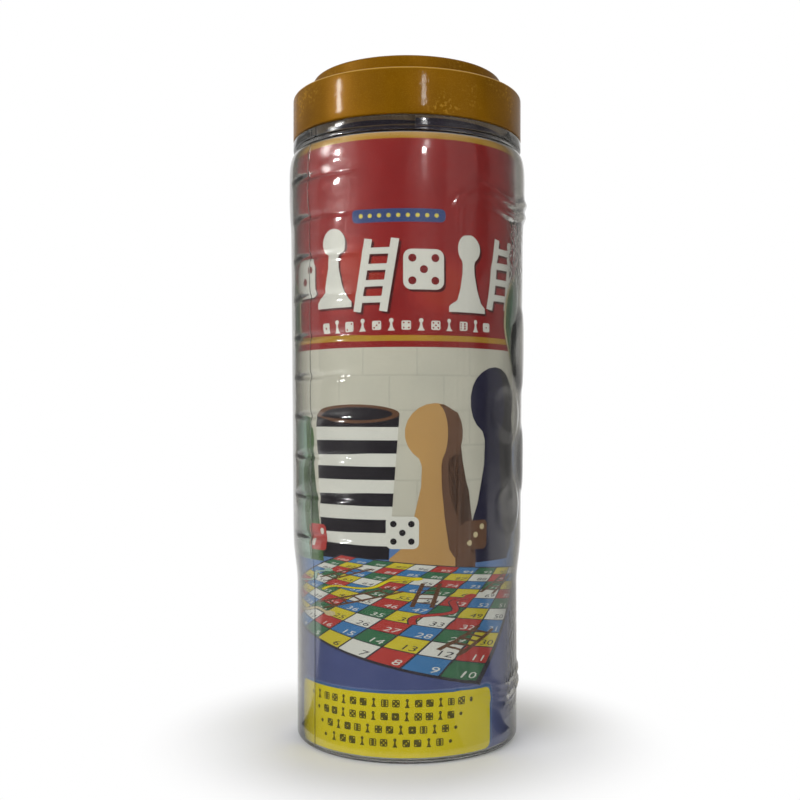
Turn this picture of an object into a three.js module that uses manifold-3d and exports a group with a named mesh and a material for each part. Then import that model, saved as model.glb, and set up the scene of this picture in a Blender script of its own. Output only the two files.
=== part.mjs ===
// A jar of ludo: a clear screw-cap jar with a rolled label, a rolled cloth board, sixteen pawns and a die.
// Millimetres, +Z up, origin at the middle of the base. Angle 0 faces -Y and angles grow towards +X.
import * as THREE from 'three';
import { mergeVertices } from 'three/addons/utils/BufferGeometryUtils.js';
import Module from 'manifold-3d';

// Cloth board: a square folded once, then rolled
const CLOTH_SIDE = 500;
const CLOTH_BAND = 1.0;
const ROLL_GAP = 0.6;
const ROLL_CLEARANCE = 0.5;
const HEADROOM = 0.9;

// Clearances shared by the pieces
const SEAT_GAP = 0.3;
const PIECE_CLEARANCE = 0.8;
const HOLLOW_CLEARANCE = 4.9;

// Jar: lower body, ribbed grip, shoulder and base
const BODY_RADIUS = 44.85;
const GRIP_STEP = 1.65;
const GRIP_TAPER = 0.9;
const SHOULDER_STEP = 0.7;
const WALL = 0.7;
const LOWER_BODY_HEIGHT = 61.6;
const STEP_HEIGHT = 20;
const SHOULDER_HEIGHT = 10;
const SHOULDER_FLARE = 15;
const SHOULDER_ROUND = 8.6;
const NOTCH_PROUD = 1.05;
const NOTCH_HEIGHT = 1.7;
const HEEL_RADIUS = 2.5;
const BASE_THICKNESS = 1.0;
const PUSH_UP = 2.8;
const STANDING_RING = 1.6;
const PUSH_UP_SLOPE = 1.2;
const FLOOR_FILLET = 1;
const SLOPE_OFFSET = 0.8;

// Grip: horizontal grooves on one side
const GROOVE_COUNT = 10;
const GROOVE_WIDTH = 3.4;
const GROOVE_DEPTH = 0.6;
const GROOVE_MARGIN = 5;
const GRIP_MIDDLE = THREE.MathUtils.degToRad(-49);
const GRIP_REACH = THREE.MathUtils.degToRad(30);
const GRIP_FADE = THREE.MathUtils.degToRad(10);

// Neck and thread
const NECK_INSET = 3.35;
const NECK_WALL = 1.5;
const BEAD_HEIGHT = 4.1;
const BEAD_ROUND = 0.6;
const RIM_CHAMFER = 0.4;
const THREAD_LEAD = 5;
const THREAD_DEPTH = 1.5;
const THREAD_ROOT = 2.4;
const THREAD_CREST = 1.0;
const THREAD_CLEARANCE = 0.4;
const THREAD_PLAY = 0.4;
const THREAD_BITE = 0.5;
const THREAD_TOP_MARGIN = 2;
const THREAD_BOTTOM_MARGIN = 4.2;
const CAP_THREAD_SHORTER = 0.25;
const RUN_OUT_STEPS = 3;
const RUN_OUT_START = 0.15;

// Screw cap and liner
const CAP_WALL = 1.6;
const CAP_TOP = 1.2;
const SKIRT_HEIGHT = 17.4;
const SKIRT_FILLET = 1.2;
const SKIRT_LIP = 0.4;
const BOSS_INSET = 8;
const BOSS_HEIGHT = 6.9;
const BOSS_ROUND = 1;
const LINER_THICKNESS = 1.3;
const LINER_OVERHANG = 0.6;

// Label: a sheet rolled against the lower wall, lapped at the back
const LABEL_THICKNESS = 0.35;
const LABEL_LAP = 15;
const LAP_CLEARANCE = 0.4;

// Pawns and die
const PAWNS_PER_COLOUR = 4;
const PAWN_RADIUS = 6;
const PAWN_HEIGHT = 24;
const PAWN_FOOT = 1.8;
const PAWN_WAIST_HEIGHT = 8;
const PAWN_WAIST_RADIUS = 3.7;
const PAWN_NECK_RADIUS = 2.4;
const PAWN_HEAD_RADIUS = 4.3;
const DIE_SIZE = 12;
const PIP_RADIUS = 1.4;
const PIP_DEPTH = 0.5;
const PIP_SPACING = 3;
const INNER_RING_PAWNS = 4;

// Facets
const ROUND_STEPS = 48;
const PAWN_STEPS = 12;
const ARC_STEPS = 3;
const HEAD_STEPS = 5;
const PIP_FACETS = 8;
const PIP_RINGS = 6;

// Heights and radii that follow from the sizes above
const foldedCloth = CLOTH_SIDE / 2;
const floorTop = PUSH_UP + BASE_THICKNESS;
const rimTop = floorTop + SEAT_GAP + foldedCloth + HEADROOM;
const linerBottom = rimTop + SEAT_GAP;
const plateInner = linerBottom + LINER_THICKNESS + SEAT_GAP;
const skirtTop = plateInner + CAP_TOP;
const skirtBottom = skirtTop - SKIRT_HEIGHT;
const bossTop = skirtTop + BOSS_HEIGHT;
const beadTop = skirtBottom - SEAT_GAP;
const beadBottom = beadTop - BEAD_HEIGHT;
const notchZ = beadBottom - NOTCH_HEIGHT;
const shoulderTop = notchZ - SHOULDER_ROUND;
const shoulderBottom = shoulderTop - SHOULDER_HEIGHT;
const flareBottom = shoulderBottom - SHOULDER_FLARE;
const gripBottom = LOWER_BODY_HEIGHT + STEP_HEIGHT;
const neckBoreRadius = BODY_RADIUS - NECK_INSET;
const neckRadius = neckBoreRadius + NECK_WALL;
const threadCrestRadius = neckRadius + THREAD_DEPTH;
const capInnerRadius = threadCrestRadius + THREAD_CLEARANCE;
const capRadius = capInnerRadius + CAP_WALL;
const bossRadius = capRadius - BOSS_INSET;
const shoulderRadius = BODY_RADIUS + GRIP_STEP + GRIP_TAPER + SHOULDER_STEP;
const notchRadius = BODY_RADIUS + NOTCH_PROUD;
const lowerInnerRadius = BODY_RADIUS - WALL;
const labelRadius = lowerInnerRadius - SEAT_GAP;
const labelBottom = BASE_THICKNESS + FLOOR_FILLET;
const rollRadius = neckBoreRadius - ROLL_CLEARANCE;
const rollPitch = CLOTH_BAND + ROLL_GAP;

const wasm = await Module();
wasm.setup();

/** A point at a radius, an angle from the front and a height. */
function polar(radius, angle, z) {
  return new THREE.Vector3(radius * Math.sin(angle), -radius * Math.cos(angle), z);
}

/** Profile points (radius, height) along a quarter or other arc round (x, y). */
function arc(x, y, radius, from, to, steps = ARC_STEPS) {
  const points = [];
  for (let i = 0; i <= steps; i += 1) {
    const a = THREE.MathUtils.degToRad(THREE.MathUtils.lerp(from, to, i / steps));
    points.push(new THREE.Vector2(x + radius * Math.cos(a), y + radius * Math.sin(a)));
  }
  return points;
}

/** Signed volume of an indexed geometry, positive when its faces point out. */
function signedVolume(position, index) {
  const a = new THREE.Vector3();
  const b = new THREE.Vector3();
  const c = new THREE.Vector3();
  let sum = 0;
  for (let i = 0; i < index.length; i += 3) {
    a.fromBufferAttribute(position, index[i]);
    b.fromBufferAttribute(position, index[i + 1]);
    c.fromBufferAttribute(position, index[i + 2]);
    sum += a.dot(b.cross(c)) / 6;
  }
  return sum;
}

/** The geometry as one closed body: shared points merged, slivers on the axis dropped, faces out. */
function closed(geometry) {
  geometry.deleteAttribute('normal');
  geometry.deleteAttribute('uv');
  const merged = mergeVertices(geometry, 1e-4);
  const kept = [];
  for (let i = 0; i < merged.index.count; i += 3) {
    const a = merged.index.getX(i);
    const b = merged.index.getX(i + 1);
    const c = merged.index.getX(i + 2);
    if (a !== b && b !== c && c !== a) kept.push(a, b, c);
  }
  if (signedVolume(merged.attributes.position, kept) < 0) kept.reverse();
  merged.setIndex(kept);
  return merged;
}

/** A body turned round Z from a profile, with rows of the profile cut back at some angles. */
function turned(profile, steps, cutRows = new Set(), cutAt = () => 0) {
  const lathe = new THREE.LatheGeometry(profile, steps);
  lathe.rotateX(Math.PI / 2);
  const position = lathe.attributes.position;
  for (let i = 0; i < position.count; i += 1) {
    const row = i % profile.length;
    if (!cutRows.has(row)) continue;
    const angle = Math.atan2(position.getX(i), -position.getY(i));
    const scale = 1 - cutAt(angle) / profile[row].x;
    position.setXY(i, position.getX(i) * scale, position.getY(i) * scale);
  }
  return closed(lathe);
}

/** A body swept through a row of like sections, each a convex ring of points, closed at both ends. */
function swept(sections) {
  const sides = sections[0].length;
  const geometry = new THREE.BufferGeometry().setFromPoints(sections.flat());
  const index = [];
  for (let k = 0; k + 1 < sections.length; k += 1) {
    for (let j = 0; j < sides; j += 1) {
      const a = k * sides + j;
      const b = k * sides + ((j + 1) % sides);
      index.push(a, b, b + sides, a, b + sides, a + sides);
    }
  }
  const last = (sections.length - 1) * sides;
  for (let j = 1; j + 1 < sides; j += 1) {
    index.push(0, j + 1, j, last, last + j, last + j + 1);
  }
  geometry.setIndex(index);
  return closed(geometry);
}

/** A wall rolled into a spiral: it starts at startAngle on its outer radius and winds inwards. */
function rolledWall(radius, thickness, pitch, startAngle, sweepAngle, bottom, top) {
  const steps = Math.ceil((sweepAngle / (2 * Math.PI)) * ROUND_STEPS);
  const sections = [];
  for (let i = 0; i <= steps; i += 1) {
    const turn = (sweepAngle * i) / steps;
    const outer = radius - (pitch * turn) / (2 * Math.PI);
    const angle = startAngle + turn;
    sections.push([
      polar(outer, angle, bottom),
      polar(outer, angle, top),
      polar(outer - thickness, angle, top),
      polar(outer - thickness, angle, bottom),
    ]);
  }
  return swept(sections);
}

function toManifold(geometry) {
  return new wasm.Manifold(new wasm.Mesh({
    numProp: 3,
    vertProperties: new Float32Array(geometry.attributes.position.array),
    triVerts: new Uint32Array(geometry.index.array),
  }));
}

function fromManifold(manifold) {
  const mesh = manifold.getMesh();
  const geometry = new THREE.BufferGeometry();
  geometry.setAttribute('position', new THREE.BufferAttribute(mesh.vertProperties.slice(), 3));
  geometry.setIndex([...mesh.triVerts]);
  return geometry;
}

function joined(geometry, other) {
  return fromManifold(toManifold(geometry).add(toManifold(other)));
}

/** A helical ridge that stands out of a round wall, outward 1 or -1, with its root sunk in the wall. */
function threadRidge(wallRadius, outward, turns, startZ) {
  const steps = Math.round(turns * ROUND_STEPS);
  const sections = [];
  for (let i = 0; i <= steps; i += 1) {
    const angle = (2 * Math.PI * turns * i) / steps;
    const z = startZ + THREAD_LEAD * turns * (i / steps);
    const runOut = Math.min(1, Math.min(i, steps - i) / RUN_OUT_STEPS);
    const height = THREAD_DEPTH * THREE.MathUtils.lerp(RUN_OUT_START, 1, runOut);
    const crest = wallRadius + outward * height;
    const root = wallRadius - outward * THREAD_BITE;
    const spread = THREAD_ROOT + ((THREAD_ROOT - THREAD_CREST) * THREAD_BITE) / THREAD_DEPTH;
    sections.push([
      polar(root, angle, z - spread / 2),
      polar(crest, angle, z - THREAD_CREST / 2),
      polar(crest, angle, z + THREAD_CREST / 2),
      polar(root, angle, z + spread / 2),
    ]);
  }
  return swept(sections);
}

// The cap's ridge starts above its lip, and the neck's runs a fixed offset above it up to the rim
const flankReach = (THREAD_ROOT - THREAD_CREST) * (1 + THREAD_CLEARANCE / THREAD_DEPTH);
const threadOffset = THREAD_ROOT - flankReach / 2 + THREAD_PLAY;
const capThreadStart = skirtBottom + THREAD_BOTTOM_MARGIN;
const neckThreadStart = capThreadStart + threadOffset;
const neckTurns = (rimTop - THREAD_TOP_MARGIN - neckThreadStart) / THREAD_LEAD;
const capTurns = neckTurns - CAP_THREAD_SHORTER;

/** Outer radius of the jar's wall between the heel and the shoulder's top. */
function wallRadiusAt(z) {
  const step = GRIP_STEP * THREE.MathUtils.smoothstep(z, LOWER_BODY_HEIGHT, gripBottom);
  const rise = THREE.MathUtils.clamp((z - gripBottom) / (flareBottom - gripBottom), 0, 1);
  const flare = SHOULDER_STEP * THREE.MathUtils.smoothstep(z, flareBottom, shoulderBottom);
  return BODY_RADIUS + step + GRIP_TAPER * rise + flare;
}

/** Inner radius of the same wall, which also leaves room for the grooves. */
function innerRadiusAt(z) {
  return wallRadiusAt(z) - WALL - GROOVE_DEPTH * THREE.MathUtils.smoothstep(z, LOWER_BODY_HEIGHT, gripBottom);
}

/** How deep the grooves are at an angle round the jar. */
function grooveDepthAt(angle) {
  const away = Math.abs(Math.atan2(Math.sin(angle - GRIP_MIDDLE), Math.cos(angle - GRIP_MIDDLE)));
  return GROOVE_DEPTH * (1 - THREE.MathUtils.smoothstep(away, GRIP_REACH - GRIP_FADE, GRIP_REACH));
}

function jarBody() {
  const v = (r, z) => new THREE.Vector2(r, z);
  const ringInner = BODY_RADIUS - HEEL_RADIUS - STANDING_RING;
  const profile = [
    v(0, PUSH_UP),
    v(ringInner - PUSH_UP_SLOPE, PUSH_UP),
    v(ringInner, 0),
    ...arc(BODY_RADIUS - HEEL_RADIUS, HEEL_RADIUS, HEEL_RADIUS, -90, 0),
    v(BODY_RADIUS, LOWER_BODY_HEIGHT),
    v(wallRadiusAt(LOWER_BODY_HEIGHT + STEP_HEIGHT / 3), LOWER_BODY_HEIGHT + STEP_HEIGHT / 3),
    v(wallRadiusAt(gripBottom - STEP_HEIGHT / 3), gripBottom - STEP_HEIGHT / 3),
  ];
  const grooveRows = new Set();
  const firstGroove = gripBottom + GROOVE_WIDTH / 2;
  const lastGroove = shoulderTop - GROOVE_MARGIN;
  for (let g = 0; g < GROOVE_COUNT; g += 1) {
    const z = THREE.MathUtils.lerp(firstGroove, lastGroove, g / (GROOVE_COUNT - 1));
    profile.push(v(wallRadiusAt(z - GROOVE_WIDTH / 2), z - GROOVE_WIDTH / 2));
    grooveRows.add(profile.length);
    profile.push(v(wallRadiusAt(z), z));
    profile.push(v(wallRadiusAt(z + GROOVE_WIDTH / 2), z + GROOVE_WIDTH / 2));
  }
  const innerTurn = notchZ - NOTCH_HEIGHT;
  profile.push(
    ...arc(0, 0, 1, 0, 90).map((p) => v(
      THREE.MathUtils.lerp(notchRadius, shoulderRadius, p.x),
      shoulderTop + SHOULDER_ROUND * p.y,
    )),
    v(capRadius - BEAD_ROUND, beadBottom),
    v(capRadius, beadBottom + BEAD_ROUND),
    v(capRadius, beadTop - BEAD_ROUND),
    v(capRadius - BEAD_ROUND, beadTop),
    v(neckRadius, beadTop),
    v(neckRadius, rimTop - RIM_CHAMFER),
    v(neckRadius - RIM_CHAMFER, rimTop),
    v(neckBoreRadius + RIM_CHAMFER, rimTop),
    v(neckBoreRadius, rimTop - RIM_CHAMFER),
    v(neckBoreRadius, beadBottom),
    v(notchRadius - WALL, innerTurn),
    v(innerRadiusAt(shoulderTop), shoulderTop),
    v(innerRadiusAt(shoulderBottom), shoulderBottom),
    v(innerRadiusAt(flareBottom), flareBottom),
    v(innerRadiusAt(gripBottom), gripBottom),
    v(innerRadiusAt(gripBottom - STEP_HEIGHT / 3), gripBottom - STEP_HEIGHT / 3),
    v(innerRadiusAt(LOWER_BODY_HEIGHT + STEP_HEIGHT / 3), LOWER_BODY_HEIGHT + STEP_HEIGHT / 3),
    v(lowerInnerRadius, LOWER_BODY_HEIGHT),
    ...arc(lowerInnerRadius - FLOOR_FILLET, labelBottom, FLOOR_FILLET, 0, -90),
    v(ringInner + SLOPE_OFFSET, BASE_THICKNESS),
    v(ringInner - PUSH_UP_SLOPE + SLOPE_OFFSET, floorTop),
    v(0, floorTop),
  );
  const jar = turned(profile, ROUND_STEPS, grooveRows, grooveDepthAt);
  return joined(jar, threadRidge(neckRadius, 1, neckTurns, neckThreadStart));
}

function screwCap() {
  const v = (r, z) => new THREE.Vector2(r, z);
  const profile = [
    v(0, bossTop - CAP_TOP),
    v(bossRadius - CAP_TOP, bossTop - CAP_TOP),
    v(bossRadius - CAP_TOP, plateInner),
    v(capInnerRadius, plateInner),
    v(capInnerRadius, skirtBottom),
    v(capRadius - SKIRT_LIP, skirtBottom),
    v(capRadius, skirtBottom + SKIRT_LIP),
    ...arc(capRadius - SKIRT_FILLET, skirtTop - SKIRT_FILLET, SKIRT_FILLET, 0, 90),
    v(bossRadius, skirtTop),
    ...arc(bossRadius - BOSS_ROUND, bossTop - BOSS_ROUND, BOSS_ROUND, 0, 90),
    v(0, bossTop),
  ];
  const cap = turned(profile, ROUND_STEPS);
  return joined(cap, threadRidge(capInnerRadius, -1, capTurns, capThreadStart));
}

function capLiner() {
  const radius = neckRadius + LINER_OVERHANG;
  const disc = new THREE.CylinderGeometry(radius, radius, LINER_THICKNESS, ROUND_STEPS);
  disc.rotateX(Math.PI / 2);
  disc.translate(0, 0, linerBottom + LINER_THICKNESS / 2);
  return closed(disc);
}

function labelSheet() {
  const pitch = LABEL_THICKNESS + LAP_CLEARANCE;
  const sweepAngle = 2 * Math.PI + LABEL_LAP / labelRadius;
  const top = notchZ - NOTCH_HEIGHT;
  return rolledWall(labelRadius, LABEL_THICKNESS, pitch, Math.PI, sweepAngle, labelBottom, top);
}

// The roll's turns come from the cloth's length and the roll's mean radius
const rollSweep = CLOTH_SIDE / (rollRadius - rollPitch - CLOTH_BAND / 2);
const rollInnerRadius = rollRadius - (rollPitch * rollSweep) / (2 * Math.PI) - CLOTH_BAND;

function clothBoard() {
  const bottom = floorTop + SEAT_GAP;
  return rolledWall(rollRadius, CLOTH_BAND, rollPitch, 0, rollSweep, bottom, bottom + foldedCloth);
}

function pawn() {
  const v = (r, z) => new THREE.Vector2(r, z);
  const headZ = PAWN_HEIGHT - PAWN_HEAD_RADIUS;
  const neckZ = headZ - Math.sqrt(PAWN_HEAD_RADIUS ** 2 - PAWN_NECK_RADIUS ** 2);
  const neckAngle = THREE.MathUtils.radToDeg(Math.asin((neckZ - headZ) / PAWN_HEAD_RADIUS));
  return turned([
    v(0, 0),
    v(PAWN_RADIUS, 0),
    v(PAWN_RADIUS, PAWN_FOOT),
    v(PAWN_WAIST_RADIUS, PAWN_WAIST_HEIGHT),
    ...arc(0, headZ, PAWN_HEAD_RADIUS, neckAngle, 90, HEAD_STEPS).slice(0, -1),
    v(0, PAWN_HEIGHT),
  ], PAWN_STEPS);
}

// Places of the pips on each face, as steps of the pip spacing; opposite faces add up to seven
const PIP_STEPS = {
  1: [[0, 0]],
  2: [[-1, -1], [1, 1]],
  3: [[-1, -1], [0, 0], [1, 1]],
  4: [[-1, -1], [-1, 1], [1, -1], [1, 1]],
  5: [[-1, -1], [-1, 1], [1, -1], [1, 1], [0, 0]],
  6: [[-1, -1], [-1, 0], [-1, 1], [1, -1], [1, 0], [1, 1]],
};
const DIE_FACES = [
  [1, new THREE.Euler(0, 0, 0)],
  [6, new THREE.Euler(Math.PI, 0, 0)],
  [2, new THREE.Euler(Math.PI / 2, 0, 0)],
  [5, new THREE.Euler(-Math.PI / 2, 0, 0)],
  [3, new THREE.Euler(0, Math.PI / 2, 0)],
  [4, new THREE.Euler(0, -Math.PI / 2, 0)],
];

function die() {
  const pipZ = DIE_SIZE / 2 + PIP_RADIUS - PIP_DEPTH;
  let body = toManifold(closed(new THREE.BoxGeometry(DIE_SIZE, DIE_SIZE, DIE_SIZE)));
  for (const [count, turn] of DIE_FACES) {
    for (const [i, j] of PIP_STEPS[count]) {
      const centre = new THREE.Vector3(i * PIP_SPACING, j * PIP_SPACING, pipZ).applyEuler(turn);
      const pip = new THREE.SphereGeometry(PIP_RADIUS, PIP_FACETS, PIP_RINGS);
      pip.translate(centre.x, centre.y, centre.z);
      body = body.subtract(toManifold(closed(pip)));
    }
  }
  return fromManifold(body);
}

/** How many round pieces of a diameter stand side by side on a circle. */
function ringCapacity(radius, diameter) {
  return Math.floor(Math.PI / Math.asin((diameter + PIECE_CLEARANCE) / (2 * radius)));
}

/** Standing places for the pawns: an outer ring, an inner one round the die if it fits, more on top. */
function pawnPlaces(count) {
  const diameter = 2 * PAWN_RADIUS;
  const outer = rollInnerRadius - HOLLOW_CLEARANCE - PAWN_RADIUS;
  const inner = DIE_SIZE / 2 + PIECE_CLEARANCE + PAWN_RADIUS;
  const rings = [[outer, ringCapacity(outer, diameter)]];
  if (inner + diameter + PIECE_CLEARANCE <= outer) {
    rings.push([(inner + outer - diameter) / 2, INNER_RING_PAWNS]);
  }
  const places = [];
  for (let layer = 0; places.length < count; layer += 1) {
    const z = floorTop + SEAT_GAP + layer * (PAWN_HEIGHT + SEAT_GAP);
    for (const [radius, capacity] of rings) {
      const standing = Math.min(capacity, count - places.length);
      for (let i = 0; i < standing; i += 1) places.push(polar(radius, (2 * Math.PI * i) / standing, z));
    }
  }
  return places;
}

function finish(color, roughness, metalness = 0) {
  return new THREE.MeshStandardMaterial({ color, roughness, metalness });
}

function piece(name, geometry, material) {
  geometry.computeVertexNormals();
  const mesh = new THREE.Mesh(geometry, material);
  mesh.name = name;
  return mesh;
}

const clearPlastic = finish(0xdfe6e4, 0.1);
clearPlastic.transparent = true;
clearPlastic.opacity = 0.3;

const jar = new THREE.Group();
jar.add(piece('jar_body', jarBody(), clearPlastic));
jar.add(piece('label_sheet', labelSheet(), finish(0xa52a28, 0.5)));

const closure = new THREE.Group();
closure.add(piece('screw_cap', screwCap(), finish(0x9a6e10, 0.3, 0.4)));
closure.add(piece('cap_liner', capLiner(), finish(0xeceae2, 0.8)));

const contents = new THREE.Group();
contents.add(piece('cloth_board', clothBoard(), finish(0x4a4666, 0.9)));

const pawnColours = { red: 0xc0261f, blue: 0x1f5fae, green: 0x1f8a3e, yellow: 0xe0b81c };
const pawnNames = Object.keys(pawnColours);
pawnPlaces(pawnNames.length * PAWNS_PER_COLOUR).forEach((place, i) => {
  const colour = pawnNames[i % pawnNames.length];
  const number = Math.floor(i / pawnNames.length) + 1;
  const mesh = piece(`pawn_${colour}_${number}`, pawn(), finish(pawnColours[colour], 0.3));
  mesh.position.copy(place);
  contents.add(mesh);
});

const dieMesh = piece('die', die(), finish(0xf2efe6, 0.35));
dieMesh.position.z = floorTop + SEAT_GAP + DIE_SIZE / 2;
contents.add(dieMesh);

const ludoJar = new THREE.Group();
ludoJar.name = 'ludo_jar';
ludoJar.add(jar, closure, contents);

export default ludoJar;
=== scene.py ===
"""Looks of the ludo jar: clear jar, gold screw cap, printed label, rolled cloth board, pawns and die.

Sizes are in millimetres in the classes of the pieces and become metres when a piece is placed. Finishes and
the studio are in metres. Angle 0 faces -Y and angles grow towards +X, as seen from above.
"""

import logging
import math
from collections.abc import Callable, Iterable, Sequence
from dataclasses import dataclass, field
from enum import Enum

import bmesh
import bpy
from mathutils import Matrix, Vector


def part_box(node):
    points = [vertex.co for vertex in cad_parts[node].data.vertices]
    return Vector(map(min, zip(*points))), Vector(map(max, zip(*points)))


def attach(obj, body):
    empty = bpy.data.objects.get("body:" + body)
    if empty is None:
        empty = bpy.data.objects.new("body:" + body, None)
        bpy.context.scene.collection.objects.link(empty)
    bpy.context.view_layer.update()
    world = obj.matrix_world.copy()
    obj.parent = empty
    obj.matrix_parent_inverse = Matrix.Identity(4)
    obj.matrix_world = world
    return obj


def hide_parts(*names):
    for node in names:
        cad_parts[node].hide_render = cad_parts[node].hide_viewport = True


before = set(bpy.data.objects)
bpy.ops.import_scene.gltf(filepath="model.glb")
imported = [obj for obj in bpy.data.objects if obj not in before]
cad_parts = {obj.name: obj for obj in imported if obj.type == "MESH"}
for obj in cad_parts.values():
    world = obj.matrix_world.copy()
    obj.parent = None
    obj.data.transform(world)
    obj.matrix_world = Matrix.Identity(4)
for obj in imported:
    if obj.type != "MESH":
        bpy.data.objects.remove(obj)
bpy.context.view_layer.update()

MM = 0.001
WELD = 0.001
FULL_TURN = 2 * math.pi
INK_LAYER = "ink"
LOG = logging.getLogger("ludo_jar")

Rgb = tuple[float, float, float]
Axis = tuple[float, float, float]
Point = tuple[float, float]
Place = Callable[[float, float], Point]
Mesh = bmesh.types.BMesh
Material = bpy.types.Material
Node = bpy.types.Node
Socket = bpy.types.NodeSocket


def srgb(red: int, green: int, blue: int) -> Rgb:
    """Turn a colour as seen on a screen, from 0 to 255, into linear light."""
    shares = (red / 255, green / 255, blue / 255)
    return tuple(s / 12.92 if s <= 0.04045 else ((s + 0.055) / 1.055) ** 2.4 for s in shares)


def clamped(value: float) -> float:
    """Keep a value between 0 and 1."""
    return min(1.0, max(0.0, value))


def smoothstep(value: float, low: float, high: float) -> float:
    """Rise smoothly from 0 at low to 1 at high."""
    share = clamped((value - low) / (high - low))
    return share * share * (3 - 2 * share)


def polar(radius: float, angle: float, height: float) -> Vector:
    """Give the point at a radius, an angle from the front and a height."""
    return Vector((radius * math.sin(angle), -radius * math.cos(angle), height))


def arc(x: float, z: float, radius: float, start: float, end: float, steps: int = 4) -> list[Point]:
    """Give the points of a profile arc.

    Args:
        x: Radius at which the arc's centre lies.
        z: Height of the arc's centre.
        radius: The arc's own radius.
        start: First angle in degrees.
        end: Last angle in degrees.
        steps: Number of straight steps.

    Returns:
        Points as (radius, height).
    """
    angles = [math.radians(start + (end - start) * i / steps) for i in range(steps + 1)]
    return [(x + radius * math.cos(a), z + radius * math.sin(a)) for a in angles]


def upright(radius: float, low: float, high: float, step: float) -> list[Point]:
    """Give evenly spaced profile points up or down a straight wall, without its two ends."""
    count = max(1, round(abs(high - low) / step))
    return [(radius, low + (high - low) * i / count) for i in range(1, count)]


def spun(profile: Sequence[Point], steps: int) -> Mesh:
    """Turn a profile that starts and ends on the axis once round Z.

    Args:
        profile: Points as (radius, height).
        steps: Facets round the axis.

    Returns:
        A closed skin whose faces point out.
    """
    bm = bmesh.new()
    verts = [bm.verts.new((0, -r, z)) for r, z in profile]
    edges = [bm.edges.new(pair) for pair in zip(verts, verts[1:])]
    bmesh.ops.spin(bm, geom=verts + edges, cent=(0, 0, 0), axis=(0, 0, 1), angle=FULL_TURN, steps=steps,
                   use_merge=True)
    bmesh.ops.remove_doubles(bm, verts=bm.verts, dist=WELD)
    bmesh.ops.recalc_face_normals(bm, faces=bm.faces)
    return bm


def pushed(bm: Mesh, amount: Callable[[float, float, float], float]) -> None:
    """Move every point of a turned skin in or out.

    Args:
        bm: The skin.
        amount: Gives how far out a point at (radius, angle, height) moves.
    """
    for vert in bm.verts:
        radius = math.hypot(vert.co.x, vert.co.y)
        if radius > 0:
            angle = math.atan2(vert.co.x, -vert.co.y)
            scale = 1 + amount(radius, angle, vert.co.z) / radius
            vert.co.x *= scale
            vert.co.y *= scale


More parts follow.
